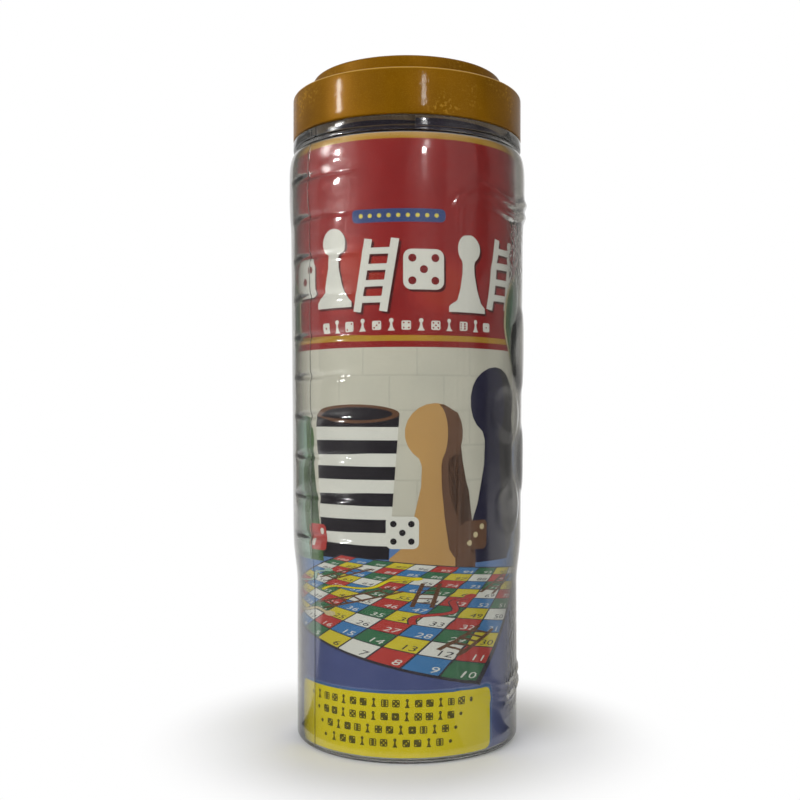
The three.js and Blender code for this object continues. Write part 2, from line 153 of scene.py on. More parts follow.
class Nodes:
    """The node tree of a material or of the world, filled with short calls."""

    def __init__(self, name: str, world: bool = False) -> None:
        """Start an empty tree with its output node.

        Args:
            name: Name of the material or the world.
            world: Whether it is the world's tree.
        """
        self.owner = (bpy.data.worlds if world else bpy.data.materials).new(name)
        self.owner.use_nodes = True
        self.tree = self.owner.node_tree
        self.tree.nodes.clear()
        self.output = self.add("OutputWorld" if world else "OutputMaterial")

    def add(self, kind: str, inputs: dict | None = None, **settings: object) -> Node:
        """Add a node.

        Args:
            kind: Blender's name for the node, without its ShaderNode prefix.
            inputs: Socket name or number to a constant or to another node's output.
            settings: Attributes set on the node itself.

        Returns:
            The new node.
        """
        node = self.tree.nodes.new("ShaderNode" + kind)
        for name, value in settings.items():
            setattr(node, name, value)
        for socket, value in (inputs or {}).items():
            if isinstance(value, Socket):
                self.tree.links.new(value, node.inputs[socket])
            elif node.inputs[socket].type == "RGBA":
                node.inputs[socket].default_value = (*value, 1)
            else:
                node.inputs[socket].default_value = value
        return node

    def math(self, operation: str, *values: object) -> Socket:
        """Add a Math node and give its result."""
        return self.add("Math", dict(enumerate(values)), operation=operation).outputs[0]

    def ramp(self, value: object, low: float, high: float, to_low: float, to_high: float) -> Socket:
        """Map a value smoothly from one range to another and give the result."""
        return self.add("MapRange", {0: value, 1: low, 2: high, 3: to_low, 4: to_high},
                        interpolation_type="SMOOTHSTEP").outputs[0]

    def spread(self, noise: Socket, to_low: float, to_high: float) -> Socket:
        """Map the middle values of a noise, where most of it lies, to a range."""
        return self.ramp(noise, 0.3, 0.7, to_low, to_high)

    def mix(self, factor: object, first: object, second: object, blend: str = "MIX") -> Socket:
        """Mix two colours and give the result."""
        node = self.add("Mix", {0: factor, 6: first, 7: second}, data_type="RGBA", blend_type=blend)
        return node.outputs[2]

    def noise(self, coords: Socket, scale: float, detail: float = 2) -> Socket:
        """Add a noise texture and give its value."""
        return self.add("TexNoise", {"Vector": coords, "Scale": scale, "Detail": detail}).outputs["Fac"]

    def cells(self, coords: Socket, scale: float, feature: str = "F1") -> Socket:
        """Add a cell texture and give the distance to the middle of a cell."""
        return self.add("TexVoronoi", {"Vector": coords, "Scale": scale}, feature=feature).outputs["Distance"]

    def vector(self, operation: str, *values: object) -> Node:
        """Add a Vector Math node."""
        return self.add("VectorMath", dict(enumerate(values)), operation=operation)

    def bump(self, height: Socket, strength: float, distance: float) -> Socket:
        """Add a bump map and give its normal."""
        return self.add("Bump", {"Height": height, "Strength": strength, "Distance": distance}).outputs[0]

    def object_coords(self) -> Socket:
        """Give the object's own coordinates, in metres."""
        return self.add("TexCoord").outputs["Object"]

    def seen(self) -> Socket:
        """Give 1 for what the camera, gloss and clear plastic see, and 0 for other light."""
        path = self.add("LightPath").outputs
        clear = self.math("MAXIMUM", path["Is Glossy Ray"], path["Is Transmission Ray"])
        return self.math("MAXIMUM", path["Is Camera Ray"], clear)

    def close(self, shader: Node) -> Material | bpy.types.World:
        """Join a shader to the output and give the finished material or world."""
        self.tree.links.new(shader.outputs[0], self.output.inputs["Surface"])
        return self.owner

    def blend(self, factor: Socket, first: Node, second: Node) -> Material | bpy.types.World:
        """Mix two shaders and close the tree with them."""
        return self.close(self.add("MixShader", {0: factor, 1: first.outputs[0], 2: second.outputs[0]}))

    def surface(self, **inputs: object) -> Material:
        """Close the tree with one main shader, whose sockets are named with _ for a space."""
        return self.close(self.add("BsdfPrincipled", {k.replace("_", " "): v for k, v in inputs.items()}))


class Ink(Enum):
    """Inks of the label and the cloth, in linear light."""

    PAPER = srgb(206, 204, 196)
    RED = srgb(132, 22, 22)
    DEEP_RED = srgb(110, 10, 13)
    GLOW_EDGE = srgb(139, 27, 24)
    GLOW_SOFT = srgb(147, 33, 26)
    GLOW_RED = srgb(150, 40, 26)
    GOLD = srgb(166, 124, 34)
    PALE = srgb(186, 183, 170)
    PALE_SHADE = srgb(177, 174, 162)
    WHITE = srgb(206, 205, 198)
    SHADOW = srgb(70, 14, 16)
    STRIP_BLUE = srgb(52, 68, 116)
    STRIP_YELLOW = srgb(206, 190, 84)
    GREEN = srgb(62, 92, 48)
    CREAM = srgb(190, 176, 138)
    NAVY = srgb(32, 30, 56)
    BLUE = srgb(84, 116, 166)
    MINT = srgb(142, 170, 156)
    TAN = srgb(178, 138, 84)
    BROWN = srgb(96, 66, 48)
    BLACK = srgb(36, 32, 38)
    GROUND = srgb(72, 80, 126)
    GROUND_LIGHT = srgb(96, 108, 150)
    PANEL = srgb(206, 188, 24)
    PANEL_EDGE = srgb(60, 94, 142)
    PANEL_MARK = srgb(84, 78, 34)
    CELL_GREEN = srgb(58, 104, 74)
    CELL_BLUE = srgb(62, 112, 164)
    CELL_RED = srgb(168, 58, 54)
    CELL_WHITE = srgb(202, 202, 196)
    CELL_YELLOW = srgb(192, 176, 50)
    LINE = srgb(58, 54, 62)


CELL_INKS = (Ink.CELL_GREEN, Ink.CELL_BLUE, Ink.CELL_RED, Ink.CELL_WHITE, Ink.CELL_YELLOW)
PLAYER_INKS = (Ink.CELL_RED, Ink.CELL_BLUE, Ink.CELL_GREEN, Ink.CELL_YELLOW)


@dataclass(frozen=True)
class ClearPlastic:
    """Clear blown plastic with a faint haze, a parting line, pebbled zones on the right and painted shade
    along its rims.
    """

    name: str = "clear_plastic"
    tint: Rgb = (0.97, 0.975, 0.955)
    edge_tint: Rgb = (0.09, 0.085, 0.066)
    edge_facing: Point = (0.36, 0.74)
    film_tint: Rgb = (0.93, 0.935, 0.92)
    roughness: float = 0.07
    rough_spread: float = 2.2
    ior: float = 1.45
    haze_scale: float = 90
    haze_height: float = 0.25
    pebble_scale: float = 420
    pebble_zones: tuple[Point, Point] = ((0.012, 0.057), (0.178, 0.208))
    pebble_fade: Point = (0.004, 0.005)
    pebble_side: Point = (0.034, 0.038)
    seam_normal: Axis = (0.5446, -0.8387, 0.0)
    seam_width: Point = (0.0001, 0.0006)
    seam_height: float = 0.3

    def material(self) -> Material:
        """Build the material.

        Returns:
            The material, which lamps and bounced light pass as a plain tint.
        """
        n = Nodes(self.name)
        coords = n.object_coords()
        x, _, z = n.add("SeparateXYZ", {0: coords}).outputs
        haze = n.noise(coords, self.haze_scale, 4)
        rise, fall = self.pebble_fade
        zones = [n.math("MULTIPLY", n.ramp(z, low, low + rise, 0, 1), n.ramp(z, high - fall, high, 1, 0))
                 for low, high in self.pebble_zones]
        panel = n.math("MULTIPLY", n.math("MAXIMUM", *zones), n.ramp(x, *self.pebble_side, 0, 1))
        bulge = n.math("SUBTRACT", 1, n.cells(coords, self.pebble_scale, "SMOOTH_F1"))
        across = n.vector("DOT_PRODUCT", coords, self.seam_normal).outputs["Value"]
        seam = n.ramp(n.math("ABSOLUTE", across), *self.seam_width, self.seam_height, 0)
        height = n.math("ADD", n.math("MULTIPLY", haze, self.haze_height), n.math("MULTIPLY", bulge, panel))
        facing = n.add("LayerWeight", {"Blend": 0.5}).outputs["Facing"]
        glass = n.add("BsdfPrincipled", {
            # Painted shade: the plastic's colour turns dark where it is seen at a grazing angle, which
            # darkens the jar's rims.
            "Base Color": n.mix(n.ramp(facing, *self.edge_facing, 0, 1), self.tint, self.edge_tint),
            "Roughness": n.ramp(haze, 0.35, 0.75, self.roughness, self.roughness * self.rough_spread),
            "IOR": self.ior,
            "Transmission Weight": 1.0,
            "Specular IOR Level": 0.5,
            "Normal": n.bump(n.math("ADD", height, seam), 0.5, 0.0004),
        })
        path = n.add("LightPath").outputs
        through = n.math("MAXIMUM", path["Is Shadow Ray"], path["Is Diffuse Ray"])
        return n.blend(through, glass, n.add("BsdfTransparent", {"Color": self.film_tint}))


@dataclass(frozen=True)
class GoldPlastic:
    """Gold-coloured moulded plastic with fine flakes, rubbed specks and a painted highlight along the skirt's
    rounded top edge.
    """

    name: str = "gold_plastic"
    deep: Rgb = srgb(106, 69, 0)
    light: Rgb = srgb(126, 84, 0)
    worn: Rgb = srgb(190, 146, 52)
    flake_scale: float = 2600
    cloud_scale: float = 30
    rub_scales: Point = (46, 900)
    grain_scale: float = 1400
    coat_scale: float = 620
    edge_radius: float = 0.0452
    edge_height: float = 0.2571

    def material(self) -> Material:
        """Build the material.

        Returns:
            The material.
        """
        n = Nodes(self.name)
        coords = n.object_coords()
        cloud = n.noise(coords, self.cloud_scale, 3)
        gold = n.mix(n.spread(cloud, 0, 1), self.deep, self.light)
        gold = n.mix(n.ramp(n.cells(coords, self.flake_scale), 0.0, 0.5, 0.22, 0), gold, self.worn)
        wide, fine = self.rub_scales
        rub = n.math("MULTIPLY", n.ramp(n.noise(coords, wide, 2), 0.56, 0.7, 0, 1),
                     n.ramp(n.noise(coords, fine, 5), 0.5, 0.66, 0, 1))
        gold = n.mix(n.math("MULTIPLY", rub, 0.5), gold, self.worn)
        flat = n.vector("MULTIPLY", coords, (1, 1, 0)).outputs[0]
        away = n.vector("LENGTH", flat).outputs["Value"]
        height = n.add("SeparateXYZ", {0: coords}).outputs["Z"]
        # Painted highlight: the skirt's rounded top edge is mixed towards the pale gold.
        edge = n.math("MULTIPLY", n.ramp(away, self.edge_radius, self.edge_radius + 0.0004, 0, 0.75),
                      n.ramp(height, self.edge_height, self.edge_height + 0.0005, 0, 1))
        grain = n.math("ADD", n.noise(coords, self.grain_scale), n.math("MULTIPLY", rub, 0.6))
        return n.surface(
            Base_Color=n.mix(edge, gold, self.worn),
            Metallic=0.18,
            Specular_IOR_Level=0.06,
            Roughness=n.math("ADD", n.spread(cloud, 0.36, 0.42), n.math("MULTIPLY", rub, 0.12)),
            Coat_Weight=0.14,
            Coat_Roughness=0.08,
            Coat_Normal=n.bump(n.noise(coords, self.coat_scale), 0.16, 0.0003),
            Normal=n.bump(grain, 0.12, 0.0002),
        )


@dataclass(frozen=True)
class PrintedPaper:
    """Satin paper whose inks come from the piece's own colour attribute."""

    name: str = "printed_paper"
    roughness: float = 0.42
    warm: Rgb = (1.0, 0.93, 0.82)
    dark: Rgb = (0.02, 0.02, 0.025)
    cloud_scale: float = 38
    dot_scale: float = 2400
    fibre_scale: float = 700

    def material(self) -> Material:
        """Build the material.

        Returns:
            The material.
        """
        n = Nodes(self.name)
        coords = n.object_coords()
        ink = n.add("VertexColor", layer_name=INK_LAYER).outputs["Color"]
        cloud = n.spread(n.noise(coords, self.cloud_scale, 3), 0, 1)
        dots = n.spread(n.noise(coords, self.dot_scale), 0, 1)
        ink = n.mix(n.math("MULTIPLY", cloud, 0.16), ink, self.warm, "SOFT_LIGHT")
        fibre = n.noise(coords, self.fibre_scale, 4)
        return n.surface(
            Base_Color=n.mix(n.math("MULTIPLY", dots, 0.1), ink, self.dark),
            Roughness=n.spread(fibre, self.roughness - 0.05, self.roughness + 0.07),
            Specular_IOR_Level=0.35,
            Normal=n.bump(fibre, 0.06, 0.0001),
        )


@dataclass(frozen=True)
class LinerFoam:
    """Pale closed-cell foam."""

    name: str = "liner_foam"
    colour: Rgb = srgb(226, 222, 210)
    pit_colour: Rgb = srgb(186, 180, 166)
    cell_scale: float = 1500

    def material(self) -> Material:
        """Build the material.

        Returns:
            The material.
        """
        n = Nodes(self.name)
        cells = n.cells(n.object_coords(), self.cell_scale, "SMOOTH_F1")
        return n.surface(
            Base_Color=n.mix(n.ramp(cells, 0.1, 0.6, 0, 0.35), self.colour, self.pit_colour),
            Roughness=n.ramp(cells, 0.1, 0.6, 0.7, 0.9),
            Normal=n.bump(cells, 0.5, 0.0003),
        )


@dataclass(frozen=True)
class PrintedCloth:
    """Woven cloth printed with a board of coloured squares inside a dark hem, whose colour is partly the
    border's own dark purple and partly painted shade under the cap.
    """

    name: str = "printed_cloth"
    uv_map: str = "cloth"
    # The hem's colour is partly the cloth's dark purple border and partly painted shade under the cap, where
    # it shows in the neck.
    hem: Rgb = srgb(46, 38, 54)
    hem_share: float = 0.07
    stripe: Rgb = srgb(132, 112, 90)
    stripe_edges: Point = (0.0205, 0.0278)
    thread_shade: Rgb = (0.01, 0.01, 0.012)
    cells: int = 10
    threads: float = 700

    def material(self) -> Material:
        """Build the material on the cloth's own UV map.

        Returns:
            The material.
        """
        n = Nodes(self.name)
        axes = n.add("SeparateXYZ", {0: n.add("UVMap", uv_map=self.uv_map).outputs[0]}).outputs[:2]
        inner, count = 1 - 2 * self.hem_share, len(CELL_INKS)
        shares = [n.math("DIVIDE", n.math("SUBTRACT", axis, self.hem_share), inner) for axis in axes]
        column, row = [n.math("FLOOR", n.math("MULTIPLY", share, self.cells)) for share in shares]
        away = [n.math("ABSOLUTE", n.math("SUBTRACT", axis, 0.5)) for axis in axes]
        border = n.math("MAXIMUM", *[n.math("GREATER_THAN", share, inner / 2) for share in away])
        index = n.math("FLOORED_MODULO", n.math("ADD", column, n.math("MULTIPLY", row, 2)), count)
        palette = n.add("ValToRGB", {0: n.math("DIVIDE", n.math("ADD", index, 0.5), count)})
        stops = palette.color_ramp.elements
        palette.color_ramp.interpolation = "CONSTANT"
        while len(stops) < count:
            stops.new(0.5)
        for i, ink in enumerate(CELL_INKS):
            stops[i].position = i / count
            stops[i].color = (*ink.value, 1)
        edge = n.math("SUBTRACT", 0.5, away[1])
        low, high = self.stripe_edges
        stripe = n.math("MULTIPLY", n.math("GREATER_THAN", edge, low), n.math("LESS_THAN", edge, high))
        printed = n.mix(stripe, n.mix(border, palette.outputs[0], self.hem), self.stripe)
        waves = [n.math("SINE", n.math("MULTIPLY", axis, math.pi * self.threads)) for axis in axes]
        weave = n.math("MULTIPLY", *waves)
        return n.surface(
            # Painted shade: the low parts of the weave are darkened towards near black.
            Base_Color=n.mix(n.ramp(weave, -1, 1, 0.22, 0), printed, self.thread_shade),
            Roughness=n.ramp(weave, -1, 1, 0.8, 0.92),
            Sheen_Weight=0.25,
            Normal=n.bump(weave, 0.4, 0.0002),
        )


@dataclass(frozen=True)
class GlossPlastic:
    """Solid-coloured moulded plastic of a pawn or a die."""

    name: str
    colour: Rgb
    roughness: float = 0.28
    shade: float = 0.55
    cloud_scale: float = 160
    peel_scale: float = 900

    def material(self) -> Material:
        """Build the material.

        Returns:
            The material.
        """
        n = Nodes(self.name)
        coords = n.object_coords()
        cloud = n.noise(coords, self.cloud_scale, 3)
        dark = tuple(channel * self.shade for channel in self.colour)
        return n.surface(
            Base_Color=n.mix(n.spread(cloud, 0, 0.16), self.colour, dark),
            Roughness=n.spread(cloud, self.roughness, self.roughness + 0.1),
            Normal=n.bump(n.noise(coords, self.peel_scale), 0.08, 0.0002),
        )


def add_object(name: str, bm: Mesh, materials: Iterable[Material]) -> bpy.types.Object:
    """Turn a mesh into an object of the scene.

    Args:
        name: The object's name.
        bm: Its mesh in metres, freed here.
        materials: Its materials, in slot order.

    Returns:
        The new object.
    """
    mesh = bpy.data.meshes.new(name)
    bm.to_mesh(mesh)
    bm.free()
    for material in materials:
        mesh.materials.append(material)
    made = bpy.data.objects.new(name, mesh)
    bpy.context.scene.collection.objects.link(made)
    return made


def place_piece(name: str, bm: Mesh, materials: Iterable[Material], body: str,
                nodes: Sequence[str] = (), smooth: float = 35) -> bpy.types.Object:
    """Turn a mesh in millimetres into a piece that rides on a body.

    Args:
        name: The piece's name.
        bm: Its mesh, freed here.
        materials: Its materials, in slot order.
        body: The body that carries it.
        nodes: The nodes it stands for.
        smooth: Angle in degrees under which edges are shaded smooth.

    Returns:
        The new object.
    """
    bmesh.ops.scale(bm, vec=(MM, MM, MM), verts=bm.verts)
    for face in bm.faces:
        face.smooth = True
    for edge in bm.edges:
        edge.smooth = edge.calc_face_angle(0.0) < math.radians(smooth)
    piece = add_object(name, bm, materials)
    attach(piece, body)
    if nodes:
        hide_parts(*nodes)
    LOG.info("%s on %s: %d faces", name, body, len(piece.data.polygons))
    return piece


def thicken(piece: bpy.types.Object, thickness: float, offset: float) -> None:
    """Give a sheet its thickness.

    Args:
        piece: The sheet.
        thickness: Its thickness in millimetres.
        offset: -1 to grow inwards, 0 to grow to both sides.
    """
    wall = piece.modifiers.new("thickness", "SOLIDIFY")
    wall.thickness = thickness * MM
    wall.offset = offset


@dataclass
class Thread:
    """A helical ridge on a round wall."""

    start: float
    turns: float
    lead: float = 5.0
    depth: float = 1.5
    root: float = 2.4
    crest: float = 1.0
    run_out: float = 0.06

    def height(self, angle: float, z: float) -> float:
        """Give the ridge's height over the wall.

        Args:
            angle: Angle from the front, in radians.
            z: Height of the point.

        Returns:
            The ridge's height, 0 off the ridge.
        """
        best = 0.0
        for turn in range(-1, 3):
            along = angle / FULL_TURN + turn
            if 0 <= along <= self.turns:
                away = abs(z - self.start - self.lead * along)
                flank = (self.root / 2 - away) / ((self.root - self.crest) / 2)
                ends = min(along, self.turns - along) / self.run_out
                best = max(best, self.depth * clamped(flank) * clamped(ends))
        return best


@dataclass
class Jar:
    """The clear jar: lower body, ribbed grip, shoulder, notch, bead, threaded neck and pushed-up base."""

    body_radius: float = 44.85
    wall: float = 0.7
    lower_height: float = 61.6
    lower_step: float = 1.65
    grip_bottom: float = 81.6
    grip_rise: float = 0.9
    flare_bottom: float = 201.0
    flare_step: float = 0.7
    shoulder_bottom: float = 216.0
    shoulder_top: float = 226.0
    shoulder_round: float = 8.6
    notch_z: float = 234.6
    notch_radius: float = 45.9
    bead_bottom: float = 236.3
    bead_top: float = 240.4
    bead_radius: float = 46.5
    bead_round: float = 0.8
    neck_radius: float = 43.0
    neck_bore: float = 41.5
    neck_fillet: float = 0.7
    neck_row: float = 0.45
    rim_top: float = 255.0
    rim_round: float = 0.5
    floor_top: float = 3.8
    push_up: float = 2.8
    push_flat: float = 24.0
    push_radius: float = 38.9
    ring_radius: float = 41.4
    ring_round: float = 0.6
    ring_wall: float = 0.8
    base: float = 1.0
    heel: float = 2.5
    ribs: int = 10
    first_rib: float = 83.3
    last_rib: float = 221.0
    rib_depth: float = 0.85
    rib_width: float = 1.3
    rib_span: float = 2.9
    rib_rows: tuple[float, ...] = (-2.4, -1.7, -1.1, -0.55, 0.0, 0.55, 1.1, 1.7, 2.4)
    rib_room: float = 0.6
    pillow: float = 0.35
    grip_middle: float = math.radians(-49)
    grip_reach: float = math.radians(30)
    front_fade: float = math.radians(18)
    side_fade: float = math.radians(23)
    relief_bottom: float = 6.0
    emboss_radius: float = 46.0
    frame_middle: Point = (60.0, 117.0)
    frame_half: Point = (36.0, 86.0)
    frame_round: float = 10.0
    wave_height: float = 2.0
    wave_start: float = 14.0
    wave_length: float = 6.5
    line_width: float = 1.5
    lines: tuple[Point, Point] = ((0.0, 0.95), (5.0, 0.8))
    domes: tuple[Axis, ...] = ((38, 176, 13), (60, 156, 17), (42, 130, 11), (66, 112, 14), (44, 94, 10))
    dome_height: float = 0.75
    steps: int = 232
    row: float = 1.25
    inner_row: float = 3.0
    bore_row: float = 2.5
    thread: Thread = field(default_factory=lambda: Thread(start=246.8, turns=1.24))

    def wall_radius(self, z: float) -> float:
        """Give the wall's outer radius at a height."""
        rise = self.grip_rise * clamped((z - self.grip_bottom) / (self.flare_bottom - self.grip_bottom))
        return (self.body_radius + self.lower_step * smoothstep(z, self.lower_height, self.grip_bottom) + rise
                + self.flare_step * smoothstep(z, self.flare_bottom, self.shoulder_bottom))

    def inner_radius(self, z: float) -> float:
        """Give the wall's inner radius at a height, with room for the grooves."""
        room = self.rib_room * smoothstep(z, self.lower_height, self.grip_bottom)
        return self.wall_radius(z) - self.wall - room

    @property
    def rib_pitch(self) -> float:
        """The height from one groove to the next."""
        return (self.last_rib - self.first_rib) / (self.ribs - 1)

    def rows(self) -> list[float]:
        """Give the heights of the outer wall's rows, which are closer at the grooves.

        Returns:
            The heights, from the heel to the shoulder.
        """
        grooves = [self.first_rib + self.rib_pitch * i for i in range(self.ribs)]
        plain = [z for _, z in upright(0, self.heel, self.shoulder_top, self.row)
                 if all(abs(z - groove) > self.rib_span for groove in grooves)]
        return sorted([*plain, *(groove + offset for groove in grooves for offset in self.rib_rows)])

    def profile(self) -> list[Point]:
        """Give the closed profile, from the base's middle up the outside and down the inside.

        Returns:
            Points as (radius, height).
        """
        r, heel, ring, wall = self.body_radius, self.heel, self.ring_round, self.ring_wall
        bead, fillet, rim = self.bead_round, self.neck_fillet, self.rim_round
        over = self.wall_radius(self.shoulder_top) - self.notch_radius
        outer_round = [(self.notch_radius + over * x, self.shoulder_top + self.shoulder_round * z)
                       for x, z in arc(0, 0, 1, 0, 90, 8)]
        inner_round = [(x - self.wall - self.rib_room / over * (x - self.notch_radius), z - 0.4 * self.wall)
                       for x, z in outer_round]
        inner_rows = [z for _, z in upright(0, self.shoulder_top - self.inner_row, heel, self.inner_row)]
        return [
            (0, self.push_up), (self.push_flat, self.push_up),
            *arc(self.push_radius, self.push_up - ring, ring, 90, 20),
            *arc(self.ring_radius, ring, ring, 200, 270),
            *arc(r - heel, heel, heel, -90, 0, 8),
            *[(self.wall_radius(z), z) for z in self.rows()],
            *outer_round,
            *arc(self.notch_radius + 0.35, self.notch_z + 0.8, 0.8, 240, 120),
            *arc(self.bead_radius - bead, self.bead_bottom + bead, bead, -90, 0),
            *arc(self.bead_radius - bead, self.bead_top - bead, bead, 0, 90),
            *arc(self.neck_radius + fillet, self.bead_top + fillet, fillet, 270, 180),
            *upright(self.neck_radius, self.bead_top + fillet, self.rim_top - rim, self.neck_row),
            *arc(self.neck_radius - rim, self.rim_top - rim, rim, 0, 90),
            *arc(self.neck_bore + rim, self.rim_top - rim, rim, 90, 180),
            *upright(self.neck_bore, self.rim_top - rim, self.bead_bottom, self.bore_row),
            (self.neck_bore + 0.15, self.bead_bottom - 0.6),
            *reversed(inner_round),
            *[(self.inner_radius(z), z) for z in inner_rows],
            *arc(r - self.wall - 1, self.base + 1, 1, 0, -90, 5),
            *arc(self.ring_radius + wall, self.base + 0.5, 0.5, 270, 200),
            *arc(self.push_radius + wall, self.floor_top - ring, ring, 20, 90),
            (self.push_flat, self.floor_top), (0, self.floor_top),
        ]

    def rib(self, angle: float, z: float) -> float:
        """Give how far the ribbed grip moves the wall at a point.

        Args:
            angle: The point's angle from the front.
            z: Its height.

        Returns:
            The move, outwards positive.
        """
        turn = math.remainder(angle - self.grip_middle, FULL_TURN)
        fade = self.side_fade if turn < 0 else self.front_fade
        reach = 1 - smoothstep(abs(turn), self.grip_reach - fade, self.grip_reach)
        if reach == 0 or not self.first_rib - 8 < z < self.last_rib + 4:
            return 0.0
        pitch = self.rib_pitch
        share = (z - self.first_rib) / pitch
        offset = (share - round(share)) * pitch
        groove = math.exp(-((offset / self.rib_width) ** 2)) if -0.3 < share < self.ribs - 0.7 else 0.0
        swell = 1 - (1 - 2 * abs(offset) / pitch) ** 2
        return reach * (self.pillow * swell - self.rib_depth * groove)

    def emboss(self, angle: float, z: float) -> float:
        """Give how far the plain raised lines and domes on the right side move the wall at a point.

        Args:
            angle: The point's angle from the front.
            z: Its height.

        Returns:
            The move, outwards.
        """
        u = angle * self.emboss_radius
        wave = self.wave_height * math.sin((u - self.wave_start) / self.wave_length)
        side = abs(u - self.frame_middle[0]) - self.frame_half[0]
        end = abs(z - self.frame_middle[1] - wave) - self.frame_half[1]
        outside = math.hypot(max(side, 0), max(end, 0)) + min(max(side, end), 0) - self.frame_round
        raised = max(high * math.exp(-(((outside + inset) / self.line_width) ** 2))
                     for inset, high in self.lines)
        for middle, height, radius in self.domes:
            away = math.hypot(u - middle, z - height) / radius
            if away < 1:
                raised = max(raised, self.dome_height * (1 - away ** 4))
        return raised

    def relief(self, radius: float, angle: float, z: float) -> float:
        """Give how far a point of the skin moves outwards.

        Args:
            radius: The point's radius before.
            angle: Its angle from the front.
            z: Its height.

        Returns:
            The move, outwards positive.
        """
        if z > self.bead_top:
            return self.thread.height(angle, z) if radius > self.neck_radius - 0.1 else 0.0
        inside = radius < self.wall_radius(z) - 0.4 * self.wall
        if inside or not self.relief_bottom < z < self.shoulder_top:
            return 0.0
        return self.rib(angle, z) + self.emboss(angle, z)

    def build(self) -> None:
        """Make the jar and place it."""
        bm = spun(self.profile(), self.steps)
        pushed(bm, self.relief)
        place_piece("jar_clear", bm, [ClearPlastic().material()], "jar", ["jar_body"],
                    smooth=50)


@dataclass
class Cap:
    """The gold screw cap with its raised disc and inner thread, and the foam liner under it."""

    radius: float = 46.5
    inner: float = 44.9
    skirt_bottom: float = 240.7
    skirt_top: float = 258.1
    skirt_lip: float = 0.5
    inner_lip: float = 0.3
    plate_inner: float = 256.9
    inner_round: float = 0.6
    boss_radius: float = 38.5
    boss_top: float = 265.0
    boss_fillet: float = 0.8
    boss_round: float = 1.0
    dish: float = 0.5
    top: float = 1.2
    fillet: float = 1.2
    liner_radius: float = 43.6
    liner_bottom: float = 255.3
    liner_thickness: float = 1.3
    liner_round: float = 0.4
    steps: int = 192
    liner_steps: int = 128
    thread: Thread = field(default_factory=lambda: Thread(start=244.9, turns=0.99))

    def profile(self) -> list[Point]:
        """Give the cap's closed profile, from the middle of its inside to the middle of its top.

        Returns:
            Points as (radius, height).
        """
        r, boss, soft, lip = self.radius, self.boss_radius, self.inner_round, self.skirt_lip
        ceiling, hollow, dish = self.boss_top - self.top, boss - self.top, self.boss_top - self.dish
        return [
            (0, ceiling), (hollow - soft, ceiling), (hollow, ceiling - soft), (hollow, self.plate_inner),
            (self.inner - soft, self.plate_inner), (self.inner, self.plate_inner - soft),
            *upright(self.inner, self.plate_inner - soft, self.skirt_bottom, 0.4),
            (self.inner, self.skirt_bottom + self.inner_lip),
            (self.inner + self.inner_lip, self.skirt_bottom),
            *arc(r - lip, self.skirt_bottom + lip, lip, -90, 0),
            *upright(r, self.skirt_bottom + lip, self.skirt_top - self.fillet, 3),
            *arc(r - self.fillet, self.skirt_top - self.fillet, self.fillet, 0, 90, 8),
            *arc(boss + self.boss_fillet, self.skirt_top + self.boss_fillet, self.boss_fillet, 270, 180),
            *arc(boss - self.boss_round, self.boss_top - self.boss_round, self.boss_round, 0, 90, 6),
            (boss - 3.4, self.boss_top), (boss - 3.8, self.boss_top - 0.15), (boss - 4.4, dish),
            (20, dish), (1.6, dish), (1.2, self.boss_top - 0.25), (0, self.boss_top - 0.2),
        ]

    def relief(self, radius: float, angle: float, z: float) -> float:
        """Give how far the inner thread moves a point inwards, as a negative number."""
        on_wall = abs(radius - self.inner) <= 0.05 and z <= self.plate_inner - 1
        return -self.thread.height(angle, z) if on_wall else 0.0

    def build(self) -> None:
        """Make the cap and the liner and place them."""
        bm = spun(self.profile(), self.steps)
        pushed(bm, self.relief)
        place_piece("cap_gold", bm, [GoldPlastic().material()], "cap", ["screw_cap"],
                    smooth=30)
        low, r, soft = self.liner_bottom, self.liner_radius, self.liner_round
        high = low + self.liner_thickness
        disc = spun([(0, low), (r - 6, low), (r - 5.6, low + 0.1), *arc(r - soft, low + soft, soft, -90, 0),
                     *arc(r - soft, high - soft, soft, 0, 90), (0, high)], self.liner_steps)
        place_piece("cap_liner_foam", disc, [LinerFoam().material()], "liner", ["cap_liner"])


PIPS: dict[int, list[tuple[int, int]]] = {
    1: [(0, 0)],
    2: [(-1, -1), (1, 1)],
    3: [(-1, -1), (0, 0), (1, 1)],
    4: [(-1, -1), (-1, 1), (1, -1), (1, 1)],
    5: [(-1, -1), (-1, 1), (1, -1), (1, 1), (0, 0)],
    6: [(-1, -1), (-1, 0), (-1, 1), (1, -1), (1, 0), (1, 1)],
}


